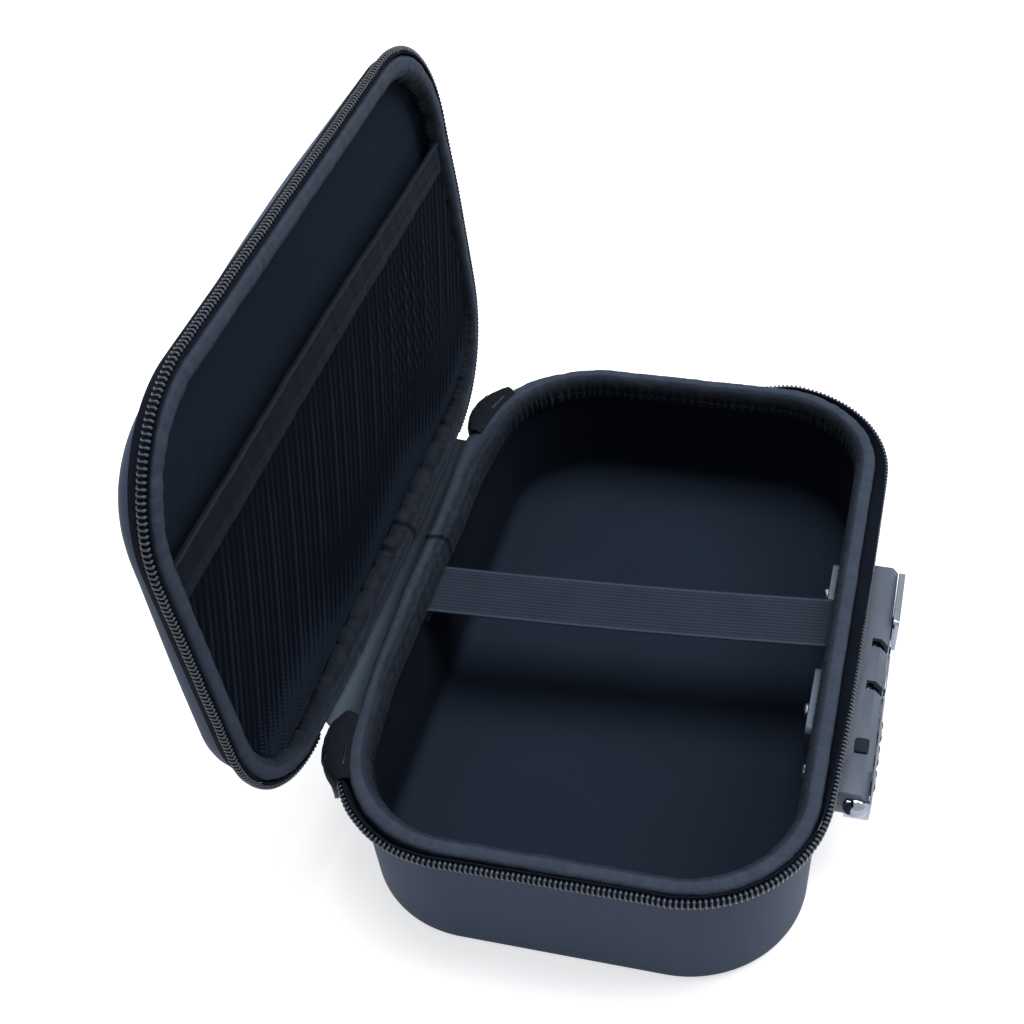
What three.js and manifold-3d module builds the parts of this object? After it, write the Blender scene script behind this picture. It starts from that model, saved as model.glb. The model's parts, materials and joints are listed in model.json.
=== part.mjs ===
// A zip-round moulded storage case with a number lock, standing open.
// Millimetres. +Z is up, X runs along the case, the lock is on the -Y wall and the hinge on the +Y wall.
// The origin is the centre of the flat underside.
import * as THREE from 'three';
import { mergeVertices } from 'three/addons/utils/BufferGeometryUtils.js';
import Module from 'manifold-3d';

const wasm = await Module();
wasm.setup();

// Driving sizes of the case
const rimLength = 253;
const rimWidth = 160;
const rimRadius = 44;
const baseHeight = 57.5;
const lidDepth = 13.5;
const closedGap = 1.5;
const openAngle = 92.5;
const hingeOut = 2.6;
const hingeDown = 9.1;

// Walls and their layers
const shellThickness = 3;
const liningThickness = 1;
const bindingThickness = 1.2;
const bindingCrown = 2.2;
const outerLeg = 5;
const baseInnerLeg = 9.2;
const lidInnerLeg = 5;
const fitGap = 0.3;
const baseDraft = 0.02;
const lidDraft = 0.06;
const baseFillet = 4.6;
const baseInnerFillet = 6;
const lidFillet = 8;
const lidInnerFillet = 4.8;
const cornerSteps = 8;
const filletSteps = 4;

// Zip
const tapeThickness = 0.5;
const tapeSewnDepth = 10.5;
const tapeEdgeDepth = 0.5;
const tapeFlare = 0.9;
const coilWidth = 3.5;
const coilThickness = 2.9;
const coilGap = 0.22;
const stopLength = 2.4;

// Sliders and their pulls
const sliderAngle = 16.6;
const sliderLength = 9;
const bridgeThickness = 1;
const sliderPlate = 1.2;
const pivotRadius = 1.2;
const pivotHeadRadius = 2.1;
const pivotHeadThickness = 0.8;
const pullThickness = 1.3;
const pullLength = 20;
const pullWidth = 7;
const pullHoleRadius = 1.6;

// Hinge web
const webThickness = 1.2;
const webSag = 4.4;
const webStartDepth = 1;
const webEndGap = 0.8;
const webSteps = 6;

// Divider strap
const strapWidth = 24;
const strapThickness = 1.2;
const strapCentreX = -0.5;
const strapSkew = 5;
const strapTab = 7;
const strapSag = 1.2;

// Lid pocket
const pocketReach = 114.5;
const bandWidth = 12.5;
const bandThickness = 1.2;
const pocketThickness = 0.8;
const pocketDepth = 2.6;
const pleatCount = 15;
const pleatHeight = 0.7;

// Lock
const lockLength = 114;
const lockHeight = 20;
const lockCentreX = -14.2;
const lockDrop = 14.5;
const lowerCornerRadius = 16;
const upperCornerRadius = 1.5;
const housingDepth = 16.1;
const housingWall = 1.5;
const bevelDepth = 3;
const bevelHeight = 3.5;
const footBevel = 2;
const facePlateThickness = 0.8;
const facePlateEnd = 28;
const facePlateLow = 0.6;
const facePlateHigh = 3.5;
const capReach = 1.6;
const capEndX = -40;
const capTop = 7.5;
const capBack = -9;
const basePlateThickness = 1;
const dialRadius = 6.6;
const dialProud = 0.9;
const dialWidth = 7.2;
const dialPitch = 11;
const dialFirstX = -38;
const dialZ = -1.3;
const dialTeeth = 20;
const dialTooth = 0.4;
const spindleRadius = 1.6;
const spindleClearance = 0.08;
const ribThickness = 2;
const slotWidth = 4.2;
const slotFirstX = 16.3;
const slotPitch = 20.7;
const slotDepth = 7.6;
const slotBack = -10.2;
const recessX = -33;
const recessLength = 5.8;
const recessDepth = 0.7;
const recessBack = -9.2;
const buttonLength = 28;
const buttonThickness = 2.5;
const buttonHeight = 16;
const buttonTravel = 5;
const stemWidth = 6;
const stemHeight = 6;
const barThickness = 3;
const barHeight = 4.5;
const barBack = -2;
const armFront = -12.6;
const armWidth = 2.4;
const fingerThickness = 2;
const springRadius = 1.8;
const springWire = 0.6;
const springTurns = 4;
const springLength = 4.8;

// Plates and screws on the inside of the front wall
const plateDepth = 3.9;
const plateSheet = 1.2;
const plateHeight = 15;
const plateSpans = [[36, 58], [-27.3, 3.7]];
const plateTop = 7;
const screwRadius = 1.5;
const screwHeadRadius = 2.8;
const screwHeadThickness = 1.4;
const looseScrewX = -42.5;
const looseScrewZ = 4;
const washerRadius = 4.2;
const washerThickness = 0.8;

// Sizes that follow from the ones above
const seatInset = bindingThickness + fitGap;
const liningInset = seatInset + shellThickness + fitGap;
const bindingWidth = liningInset + liningThickness + fitGap + bindingThickness;
const lidRimZ = baseHeight + closedGap;
const lockTopZ = baseHeight - lockDrop;
const hingeY = rimWidth / 2 + hingeOut;
const hingeZ = baseHeight - hingeDown;
const slotXs = [slotFirstX, slotFirstX - slotPitch];
const dialXs = [0, 1, 2].map((index) => dialFirstX + index * dialPitch);
const dialAxisY = dialRadius - dialProud - (housingDepth + facePlateThickness + 2 * fitGap);

function signedVolume(points, triangles) {
  let volume = 0;
  for (const [a, b, c] of triangles) {
    volume += new THREE.Vector3(...points[a]).dot(
      new THREE.Vector3(...points[b]).cross(new THREE.Vector3(...points[c])),
    );
  }
  return volume / 6;
}

// A closed geometry from points and triangles, its faces turned outwards
function closedGeometry(points, triangles) {
  const turned = signedVolume(points, triangles) < 0;
  const geometry = new THREE.BufferGeometry();
  geometry.setAttribute('position', new THREE.Float32BufferAttribute(points.flat(), 3));
  geometry.setIndex(triangles.flatMap(([a, b, c]) => (turned ? [a, c, b] : [a, b, c])));
  return geometry;
}

function toManifold(geometry) {
  const bare = geometry.clone();
  bare.deleteAttribute('normal');
  bare.deleteAttribute('uv');
  const merged = mergeVertices(bare, 1e-4);
  return new wasm.Manifold(new wasm.Mesh({
    numProp: 3,
    vertProperties: new Float32Array(merged.getAttribute('position').array),
    triVerts: new Uint32Array(merged.getIndex().array),
  }));
}

function fromManifold(body) {
  const mesh = body.getMesh();
  const geometry = new THREE.BufferGeometry();
  geometry.setAttribute('position', new THREE.BufferAttribute(new Float32Array(mesh.vertProperties), 3));
  geometry.setIndex(new THREE.BufferAttribute(new Uint32Array(mesh.triVerts), 1));
  return geometry;
}

// One geometry minus or plus a list of others
function cut(geometry, tools) {
  return fromManifold(tools.reduce((body, tool) => body.subtract(toManifold(tool)), toManifold(geometry)));
}

function join(geometries) {
  const bodies = geometries.map(toManifold);
  return fromManifold(bodies.reduce((body, other) => body.add(other)));
}

// What a list of geometries have in common
function common(geometries) {
  const bodies = geometries.map(toManifold);
  return fromManifold(bodies.reduce((body, other) => body.intersect(other)));
}

function box(low, high) {
  const size = high.map((value, axis) => value - low[axis]);
  const geometry = new THREE.BoxGeometry(...size);
  geometry.translate(...low.map((value, axis) => value + size[axis] / 2));
  return geometry;
}

// A cylinder along one axis, from one end to the other
function rod(axis, centre, from, to, radius, sides = 16) {
  const geometry = new THREE.CylinderGeometry(radius, radius, Math.abs(to - from), sides);
  if (axis === 'x') geometry.rotateZ(Math.PI / 2);
  if (axis === 'z') geometry.rotateX(Math.PI / 2);
  const middle = (from + to) / 2;
  if (axis === 'x') geometry.translate(middle, centre[0], centre[1]);
  if (axis === 'y') geometry.translate(centre[0], middle, centre[1]);
  if (axis === 'z') geometry.translate(centre[0], centre[1], middle);
  return geometry;
}

// A prism: an outline in y and z, carried along x
function prismX(outline, fromX, toX) {
  const shape = new THREE.Shape(outline.map(([y, z]) => new THREE.Vector2(y, z)));
  const geometry = new THREE.ExtrudeGeometry(shape, { depth: toX - fromX, bevelEnabled: false });
  geometry.applyMatrix4(new THREE.Matrix4().set(0, 0, 1, fromX, 1, 0, 0, 0, 0, 1, 0, 0, 0, 0, 0, 1));
  return geometry;
}

// A plate in x and z between two values of y, its lower and its upper corners rounded
function platePrism([lowX, highX], [lowZ, highZ], [lowRadius, highRadius], [fromY, toY]) {
  const shape = new THREE.Shape();
  shape.moveTo(lowX + lowRadius, lowZ);
  shape.lineTo(highX - lowRadius, lowZ);
  shape.absarc(highX - lowRadius, lowZ + lowRadius, lowRadius, -Math.PI / 2, 0, false);
  shape.absarc(highX - highRadius, highZ - highRadius, highRadius, 0, Math.PI / 2, false);
  shape.absarc(lowX + highRadius, highZ - highRadius, highRadius, Math.PI / 2, Math.PI, false);
  shape.absarc(lowX + lowRadius, lowZ + lowRadius, lowRadius, Math.PI, 1.5 * Math.PI, false);
  const depth = Math.abs(toY - fromY);
  const geometry = new THREE.ExtrudeGeometry(shape, { depth, bevelEnabled: false, curveSegments: 8 });
  geometry.applyMatrix4(new THREE.Matrix4().set(1, 0, 0, 0, 0, 0, -1, Math.max(fromY, toY), 0, 1, 0, 0, 0, 0, 0, 1));
  return geometry;
}

function mesh(name, geometry, colour, roughness, metalness = 0) {
  const material = new THREE.MeshStandardMaterial({ color: colour, roughness, metalness });
  const object = new THREE.Mesh(geometry, material);
  object.name = name;
  return object;
}

// Plan outline of the case, grown outwards by offset, from the rear edge's left end round by the front
function contour(offset, radius) {
  const corners = [[-1, 1, 0.5], [-1, -1, 1], [1, -1, 1.5], [1, 1, 0]];
  const points = [];
  for (const [signX, signY, quarter] of corners) {
    for (let step = 0; step <= cornerSteps; step += 1) {
      const angle = Math.PI * (quarter + step / cornerSteps / 2);
      points.push([
        signX * (rimLength / 2 + offset - radius) + radius * Math.cos(angle),
        signY * (rimWidth / 2 + offset - radius) + radius * Math.sin(angle),
      ]);
    }
  }
  return points;
}

// Rings of points joined into one closed surface. A loop of rings closes on itself; an open row ends in discs.
function loftRings(rings, loop) {
  const points = rings.flat();
  const count = rings[0].length;
  const triangles = [];
  const rows = loop ? rings.length : rings.length - 1;
  for (let row = 0; row < rows; row += 1) {
    const next = (row + 1) % rings.length;
    for (let i = 0; i < count; i += 1) {
      const j = (i + 1) % count;
      triangles.push([row * count + i, row * count + j, next * count + j]);
      triangles.push([row * count + i, next * count + j, next * count + i]);
    }
  }
  if (!loop) {
    for (const [row, reverse] of [[0, false], [rings.length - 1, true]]) {
      const centre = points.length;
      points.push([0, 0, rings[row][0][2]]);
      for (let i = 0; i < count; i += 1) {
        const j = (i + 1) % count;
        const edge = [row * count + i, row * count + j];
        triangles.push(reverse ? [centre, edge[0], edge[1]] : [centre, edge[1], edge[0]]);
      }
    }
  }
  return closedGeometry(points, triangles);
}

// A closed profile of [offset, depth below the rim] carried all round the rim
function rimLoop(profile, toZ) {
  const rings = profile.map(([offset, depth]) => (
    contour(offset, rimRadius + offset).map(([x, y]) => [x, y, toZ(depth)])
  ));
  return loftRings(rings, true);
}

// The same profile carried round three sides only, open along the straight rear edge
function rimRun(profile, toZ) {
  const outlines = profile.map(([offset]) => contour(offset, rimRadius + offset));
  const stations = outlines[0].map((_, i) => (
    profile.map(([, depth], k) => [outlines[k][i][0], outlines[k][i][1], toZ(depth)])
  ));
  return sweepStations(stations, profile);
}

// Sections joined in a row, each end closed by its triangulated outline
function sweepStations(stations, outline) {
  const count = outline.length;
  const points = stations.flat();
  const triangles = [];
  for (let row = 0; row + 1 < stations.length; row += 1) {
    for (let i = 0; i < count; i += 1) {
      const j = (i + 1) % count;
      triangles.push([row * count + i, (row + 1) * count + j, row * count + j]);
      triangles.push([row * count + i, (row + 1) * count + i, (row + 1) * count + j]);
    }
  }
  const flat = outline.map(([x, y]) => new THREE.Vector2(x, y));
  const last = (stations.length - 1) * count;
  for (const face of THREE.ShapeUtils.triangulateShape(flat, [])) {
    const [a, b, c] = [...face].sort((m, n) => m - n);
    triangles.push([a, b, c], [last + a, last + c, last + b]);
  }
  return closedGeometry(points, triangles);
}

// One half of the case: its height, its draft, and how its own heights become heights of the model
const base = {
  height: baseHeight, draft: baseDraft, innerLeg: baseInnerLeg, rimZ: (depth) => baseHeight - depth,
};
const lid = {
  height: lidDepth, draft: lidDraft, innerLeg: lidInnerLeg, rimZ: (depth) => lidRimZ + depth,
};

function wallInset(half, height) {
  return seatInset + Math.max(0, half.height - outerLeg - height) * half.draft;
}

// Half a cup's section, from the edge of its flat floor up to its mouth, as [inset, height]
function cupSide(half, extraInset, floorHeight, fillet, mouthHeight) {
  const centreHeight = floorHeight + fillet;
  const centreInset = wallInset(half, centreHeight) + extraInset + fillet;
  const side = [];
  for (let step = 0; step <= filletSteps; step += 1) {
    const angle = (Math.PI / 2) * step / filletSteps;
    side.push([centreInset - fillet * Math.sin(angle), centreHeight - fillet * Math.cos(angle)]);
  }
  const legHeight = half.height - outerLeg;
  if (centreHeight < legHeight - 0.5) side.push([seatInset + extraInset, legHeight]);
  side.push([seatInset + extraInset, mouthHeight]);
  return side;
}

// A moulded cup between an outer and an inner side
function cup(half, outerInset, outerFloor, outerFillet, thickness, innerFillet) {
  const mouth = half.height - bindingCrown - fitGap;
  const outer = cupSide(half, outerInset, outerFloor, outerFillet, mouth);
  const inner = cupSide(half, outerInset + thickness, outerFloor + thickness, innerFillet, mouth);
  const rings = [...outer, ...inner.reverse()].map(([inset, height]) => {
    const z = half.rimZ(half.height - height);
    return contour(-inset, rimRadius - inset).map(([x, y]) => [x, y, z]);
  });
  return loftRings(rings, false);
}

function shellGeometry(half, fillet, innerFillet) {
  return cup(half, 0, 0, fillet, shellThickness, innerFillet);
}

function liningGeometry(half, innerFillet) {
  const outerFillet = innerFillet - fitGap;
  const inset = shellThickness + fitGap;
  return cup(half, inset, inset, outerFillet, liningThickness, outerFillet - liningThickness);
}

// Tape folded over the shell and the lining: two legs and a rounded crown
function bindingProfile(half) {
  const width = bindingWidth;
  const leg = outerLeg;
  const crown = bindingCrown;
  const wall = bindingThickness;
  return [
    [0, leg], [0, crown], [-crown * 0.3, crown * 0.3], [-crown, 0],
    [crown - width, 0], [crown * 0.3 - width, crown * 0.3], [-width, crown], [-width, half.innerLeg],
    [wall - width, half.innerLeg], [wall - width, crown], [-wall, crown], [-wall, leg],
  ];
}

// The zip tape hangs on the wall below the binding and leans out towards its coil
function tapeInner(half) {
  const sewnInset = Math.min(seatInset, wallInset(half, half.height - tapeSewnDepth)) - fitGap;
  return [
    [-sewnInset, tapeSewnDepth],
    [-sewnInset + 0.2, outerLeg + 3],
    [fitGap + 0.1, outerLeg],
    [tapeFlare, tapeEdgeDepth],
  ];
}

function tapeProfile(half) {
  const inner = tapeInner(half);
  const outer = inner.map(([offset, depth]) => [offset + tapeThickness, depth]);
  return [...inner, ...outer.reverse()];
}

function coilProfile() {
  const lean = (tapeFlare - fitGap - 0.1) / (outerLeg - tapeEdgeDepth);
  const top = tapeEdgeDepth + 0.1;
  const low = top + coilWidth;
  const face = tapeFlare + tapeThickness + coilGap;
  return [
    [face - lean * coilWidth, low],
    [face - lean * coilWidth + coilThickness, low],
    [face + coilThickness, top],
    [face, top],
  ];
}

const coilReach = tapeFlare + tapeThickness + coilGap + coilThickness;

// The outline of a strip that follows a line, half its thickness to either side
function ribbonOutline(line, thickness) {
  const side = (sign) => line.map(([a, b], i) => {
    const before = line[Math.max(0, i - 1)];
    const after = line[Math.min(line.length - 1, i + 1)];
    const along = new THREE.Vector2(after[0] - before[0], after[1] - before[1]).normalize();
    return [a - sign * thickness / 2 * along.y, b + sign * thickness / 2 * along.x];
  });
  return [...side(1), ...side(-1).reverse()];
}

// Where a point of the closed lid's section lies once the lid stands open
function lidPoint(y, z) {
  const angle = THREE.MathUtils.degToRad(openAngle);
  const point = new THREE.Vector2(y - hingeY, z - hingeZ).rotateAround(new THREE.Vector2(), -angle);
  return [hingeY + point.x, hingeZ + point.y];
}

// The strip of cloth that joins the two bindings, sagging between them
function hingeWebGeometry() {
  const chamfer = 0.3 * bindingCrown;
  const [crownY, crownZ] = lidPoint(rimWidth / 2 - chamfer, lidRimZ + chamfer);
  const arm = new THREE.Vector2(crownY - hingeY, crownZ - hingeZ);
  arm.setLength(arm.length() - webEndGap);
  const start = [rimWidth / 2 + fitGap + webThickness / 2, baseHeight - bindingCrown - webStartDepth];
  const end = [hingeY + arm.x, hingeZ + arm.y];
  const line = Array.from({ length: webSteps + 1 }, (_, step) => {
    const share = step / webSteps;
    const sag = webSag * 4 * share * (1 - share);
    return [start[0] + (end[0] - start[0]) * share, start[1] + (end[1] - start[1]) * share - sag];
  });
  const reach = rimLength / 2 - rimRadius - stopLength - 2 * fitGap;
  return prismX(ribbonOutline(line, webThickness), -reach, reach);
}

// Elastic strap slightly askew across the tray, its ends turned down along the lining
function strapGeometry() {
  const topZ = baseHeight - baseInnerLeg - fitGap - 0.4;
  const tabZ = topZ - strapTab;
  const halfTray = (z) => rimWidth / 2 - wallInset(base, z) - shellThickness - liningThickness - 2 * fitGap;
  const halfTop = halfTray(topZ);
  const halfTab = halfTray(tabZ);
  const steps = 8;
  const upper = [];
  const lower = [];
  for (let step = 0; step <= steps; step += 1) {
    const share = (step / steps) * 2 - 1;
    const sag = strapSag * (1 - share * share);
    upper.push([halfTop * share, topZ - sag]);
    lower.push([(halfTop - strapThickness) * share, topZ - sag - strapThickness]);
  }
  const outline = [
    [-halfTab, tabZ], ...upper, [halfTab, tabZ],
    [halfTab - strapThickness, tabZ], ...lower.reverse(), [strapThickness - halfTab, tabZ],
  ];
  const strap = prismX(outline, strapCentreX - strapWidth / 2, strapCentreX + strapWidth / 2);
  const shear = new THREE.Matrix4().set(1, -strapSkew / halfTop, 0, 0, 0, 1, 0, 0, 0, 0, 1, 0, 0, 0, 0, 1);
  return strap.applyMatrix4(shear);
}

// Half the width of the lid's mouth at a distance from its hinge edge, kept clear by a margin
function mouthHalfLength(distance, margin) {
  const inset = bindingWidth + margin;
  const radius = rimRadius - inset;
  const along = Math.max(0, radius - (distance - inset));
  return rimLength / 2 - inset - (radius - Math.sqrt(Math.max(0, radius * radius - along * along)));
}

// Pleated cloth of the pocket: folds run away from the hinge edge and die out at the band
function pocketGeometry() {
  const near = bindingWidth + fitGap;
  const far = pocketReach - bandWidth - fitGap;
  const columns = pleatCount * 4;
  const rows = 8;
  const top = [];
  const under = [];
  for (let row = 0; row <= rows; row += 1) {
    const share = row / rows;
    const distance = near + (far - near) * share;
    const halfLength = mouthHalfLength(distance, fitGap);
    for (let column = 0; column <= columns; column += 1) {
      const across = column / columns * 2 - 1;
      const fold = pleatHeight * (1 - share) * Math.sin(column / 4 * 2 * Math.PI);
      const x = halfLength * across;
      const y = rimWidth / 2 - distance;
      const z = lidRimZ + pocketDepth + fold;
      top.push([x, y, z]);
      under.push([x, y, z + pocketThickness]);
    }
  }
  return sheetGeometry(top, under, columns + 1, rows + 1);
}

// Two matching grids of points closed into a thin solid
function sheetGeometry(front, back, columns, rows) {
  const triangles = [];
  const shift = front.length;
  const quad = (a, b, c, d) => triangles.push([a, b, c], [a, c, d]);
  for (let row = 0; row + 1 < rows; row += 1) {
    for (let column = 0; column + 1 < columns; column += 1) {
      const a = row * columns + column;
      quad(a, a + 1, a + columns + 1, a + columns);
      quad(a + shift, a + shift + columns, a + shift + columns + 1, a + shift + 1);
    }
  }
  for (let column = 0; column + 1 < columns; column += 1) {
    const last = (rows - 1) * columns + column;
    quad(column + 1, column, column + shift, column + shift + 1);
    quad(last, last + 1, last + 1 + shift, last + shift);
  }
  for (let row = 0; row + 1 < rows; row += 1) {
    const left = row * columns;
    const right = left + columns - 1;
    quad(left, left + columns, left + columns + shift, left + shift);
    quad(right + columns, right, right + shift, right + columns + shift);
  }
  return closedGeometry([...front, ...back], triangles);
}

function pocketBandGeometry() {
  const outerEdge = pocketReach;
  const innerEdge = pocketReach - bandWidth;
  const halfLength = mouthHalfLength(innerEdge, fitGap);
  const low = lidRimZ + pocketDepth - (bandThickness - pocketThickness) / 2;
  return box(
    [-halfLength, rimWidth / 2 - outerEdge, low],
    [halfLength, rimWidth / 2 - innerEdge, low + bandThickness],
  );
}

// A slider hooked on the base's coil: a bridge above it, a plate outside it and a lip below it
function sliderGeometry() {
  const bridgeLow = baseHeight - tapeEdgeDepth + fitGap;
  const bridgeHigh = bridgeLow + bridgeThickness;
  const plateIn = coilReach + fitGap;
  const plateOut = plateIn + sliderPlate;
  const lipHigh = baseHeight - coilProfile()[0][1] - fitGap;
  const lipLow = lipHigh - sliderPlate;
  const lipIn = tapeFlare + tapeThickness + 2 * fitGap;
  const outline = [
    [2 * fitGap, bridgeLow], [2 * fitGap, bridgeHigh], [plateOut, bridgeHigh], [plateOut, lipLow],
    [lipIn, lipLow], [lipIn, lipHigh], [plateIn, lipHigh], [plateIn, bridgeLow],
  ];
  const body = prismX(outline, -sliderLength / 2, sliderLength / 2);
  const pivotZ = (bridgeLow + lipHigh) / 2;
  const headAt = plateOut + pullThickness + 2 * fitGap;
  const pin = rod('y', [0, pivotZ], plateOut - 0.5, headAt + 0.2, pivotRadius, 12);
  const head = rod('y', [0, pivotZ], headAt, headAt + pivotHeadThickness, pivotHeadRadius, 12);
  return { body: join([body, pin, head]), pivotZ, pullAt: plateOut + fitGap };
}

// A flat pull with a round eye at the pivot and a slot that the lock's finger enters
function pullGeometry(pivotZ, pullAt) {
  const eye = pullWidth / 2;
  const shape = new THREE.Shape();
  shape.absarc(0, 0, eye, 0, Math.PI, false);
  shape.lineTo(-eye * 0.7, -pullLength + eye);
  shape.absarc(0, -pullLength + eye * 0.8, eye * 0.8, Math.PI, 2 * Math.PI, false);
  const hole = new THREE.Path();
  hole.absarc(0, 0, pullHoleRadius, 0, 2 * Math.PI, true);
  const slot = new THREE.Path();
  slot.absarc(0, -pullLength + eye * 0.9, pullHoleRadius * 1.1, 0, 2 * Math.PI, true);
  shape.holes.push(hole, slot);
  const options = { depth: pullThickness, bevelEnabled: false, curveSegments: 8 };
  const geometry = new THREE.ExtrudeGeometry(shape, options);
  geometry.rotateX(Math.PI / 2);
  geometry.translate(0, pullAt + pullThickness, pivotZ);
  return geometry;
}

// A group that stands on the rim outline of a rear corner, its y pointing out of the wall
function cornerGroup(side) {
  const group = new THREE.Group();
  const angle = THREE.MathUtils.degToRad(90 + sliderAngle);
  const centreX = rimLength / 2 - rimRadius;
  const x = -(centreX - rimRadius * Math.cos(angle));
  const y = rimWidth / 2 - rimRadius + rimRadius * Math.sin(angle);
  group.position.set(-side * x, y, 0);
  group.rotation.z = -side * THREE.MathUtils.degToRad(sliderAngle);
  return group;
}

function addSlider(parent, side, word) {
  const { body, pivotZ, pullAt } = sliderGeometry();
  const group = cornerGroup(side);
  group.add(mesh(`zip_slider_${word}`, body, 0xb9bcc2, 0.3, 1));
  group.add(mesh(`zip_pull_${word}`, pullGeometry(pivotZ, pullAt), 0xb9bcc2, 0.3, 1));
  parent.add(group);
}

// A clip closed over the end of the coil
function stopGeometry(side) {
  const [low, high] = [coilProfile()[0][1], coilProfile()[2][1]];
  const start = rimLength / 2 - rimRadius - fitGap;
  const end = start - stopLength;
  const outer = rimWidth / 2 + coilReach;
  return box(
    [Math.min(side * start, side * end), outer - coilThickness - 0.3, baseHeight - low],
    [Math.max(side * start, side * end), outer, baseHeight - high],
  );
}

// Lock: y is 0 on the case's outer wall and falls outwards; x and z are centred on the lock
const housingFront = -(fitGap + housingDepth);
const housingInside = housingFront + housingWall;
const faceBack = housingFront - fitGap;
const faceFront = faceBack - facePlateThickness;
const basePlateBack = -(fitGap + basePlateThickness);
const lockHalf = lockLength / 2;
const lockHalfHeight = lockHeight / 2;
const dialBay = [dialXs[0] - dialPitch / 2 + 0.5, dialXs[2] + dialPitch / 2 - 0.5];
const stemX = lockHalf - buttonLength + 5;
const barZ = lockHalfHeight - housingWall - 1 - barHeight / 2;
const barStart = slotXs[1] + slotWidth / 2 - 0.7;

// The lock's front view, grown outwards by a margin, between two values of y
function lockSlab(margin, span) {
  return platePrism(
    [-lockHalf - margin, lockHalf + margin],
    [-lockHalfHeight - margin, lockHalfHeight + margin],
    [lowerCornerRadius + margin, Math.max(0.2, upperCornerRadius + margin)],
    span,
  );
}

// The lock's end view with its sloping top edge, shrunk by a wall
function endView(wall, backY) {
  const top = lockHalfHeight - wall;
  const front = housingFront + wall;
  return prismX([
    [backY, -top], [backY, top], [front + bevelDepth - wall * 0.4, top],
    [front, top - bevelHeight], [front, footBevel - top], [front + footBevel, -top],
  ], -lockHalf - 1, lockHalf + 1);
}

function dialWindow(x, halfHeight, [frontY, backY]) {
  const half = dialWidth / 2 + 0.4;
  return box([x - half, frontY, dialZ - halfHeight], [x + half, backY, dialZ + halfHeight]);
}

function housingGeometry() {
  const body = common([lockSlab(0, [-fitGap, housingFront]), endView(0, 1)]);
  const hollow = common([lockSlab(-housingWall, [1, housingInside]), endView(housingWall, 2)]);
  const ribs = [dialBay[0] - ribThickness, dialBay[1]].map((x) => (
    box([x, housingFront, -lockHeight], [x + ribThickness, basePlateBack - fitGap, lockHeight])
  ));
  const tools = [
    cut(hollow, ribs),
    rod('x', [dialAxisY, dialZ], dialBay[0] - ribThickness - 1, dialBay[1] + ribThickness + 1, spindleRadius + fitGap),
    ...dialXs.map((x) => dialWindow(x, dialRadius + 0.4, [housingFront - 1, housingInside + 1])),
    ...slotXs.map((x) => box(
      [x - slotWidth / 2, housingFront - 1, lockHalfHeight - slotDepth],
      [x + slotWidth / 2, slotBack, lockHalfHeight + 1],
    )),
    box(
      [recessX - recessLength / 2, housingFront - 1, lockHalfHeight - recessDepth],
      [recessX + recessLength / 2, recessBack, lockHalfHeight + 1],
    ),
    box(
      [stemX - stemWidth / 2 - fitGap, housingFront - 1, -stemHeight / 2 - fitGap],
      [stemX + stemWidth / 2 + buttonTravel + fitGap, housingInside + 1, stemHeight / 2 + fitGap],
    ),
  ];
  return cut(body, tools);
}

// Bright plate over the front, with a cap that wraps the housing's lower near corner
function facePlateGeometry() {
  const top = lockHalfHeight - facePlateHigh;
  const far = 2 * lockLength;
  const plate = cut(lockSlab(-facePlateLow, [faceBack, faceFront]), [
    box([-far, faceFront - 1, top], [far, faceBack + 1, far]),
    box([facePlateEnd, faceFront - 1, -far], [far, faceBack + 1, far]),
  ]);
  const cap = cut(lockSlab(capReach, [capBack, faceFront]), [
    lockSlab(fitGap, [capBack + 1, faceBack]),
    box([capEndX, faceFront - 1, -far], [far, 0, far]),
    box([-far, faceFront - 1, capTop], [far, 0, far]),
  ]);
  const windows = dialXs.map((x) => dialWindow(x, dialRadius - 0.6, [faceFront - 1, faceBack + 1]));
  const slots = slotXs.map((x) => box(
    [x - slotWidth / 2, faceFront - 1, lockHalfHeight - slotDepth],
    [x + slotWidth / 2, faceBack + 1, lockHalfHeight],
  ));
  return cut(join([plate, cap]), [...windows, ...slots]);
}

function basePlateGeometry() {
  const plate = lockSlab(-housingWall - fitGap, [-fitGap, basePlateBack]);
  return cut(plate, fixingPoints().map(([x, z]) => rod('y', [x, z], -4, 2, screwRadius + fitGap, 12)));
}

// Where the lock is screwed through the wall, as [x, z] on the lock
function fixingPoints() {
  const centreZ = plateTop - plateHeight / 2;
  return [...plateSpans.map(([from, to]) => [(from + to) / 2, centreZ]), [looseScrewX, looseScrewZ]];
}

function dialGeometry(x) {
  const shape = new THREE.Shape();
  const count = dialTeeth * 2;
  for (let i = 0; i < count; i += 1) {
    const radius = i % 2 ? dialRadius - dialTooth : dialRadius;
    const angle = (i / count) * 2 * Math.PI;
    const point = [radius * Math.cos(angle), radius * Math.sin(angle)];
    if (i) shape.lineTo(...point);
    else shape.moveTo(...point);
  }
  const hole = new THREE.Path();
  hole.absarc(0, 0, (spindleRadius + spindleClearance) / Math.cos(Math.PI / 16), 0, 2 * Math.PI, true);
  shape.holes.push(hole);
  const geometry = new THREE.ExtrudeGeometry(shape, { depth: dialWidth, bevelEnabled: false, curveSegments: 16 });
  geometry.rotateY(Math.PI / 2);
  geometry.translate(x - dialWidth / 2, dialAxisY, dialZ);
  return geometry;
}

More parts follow.
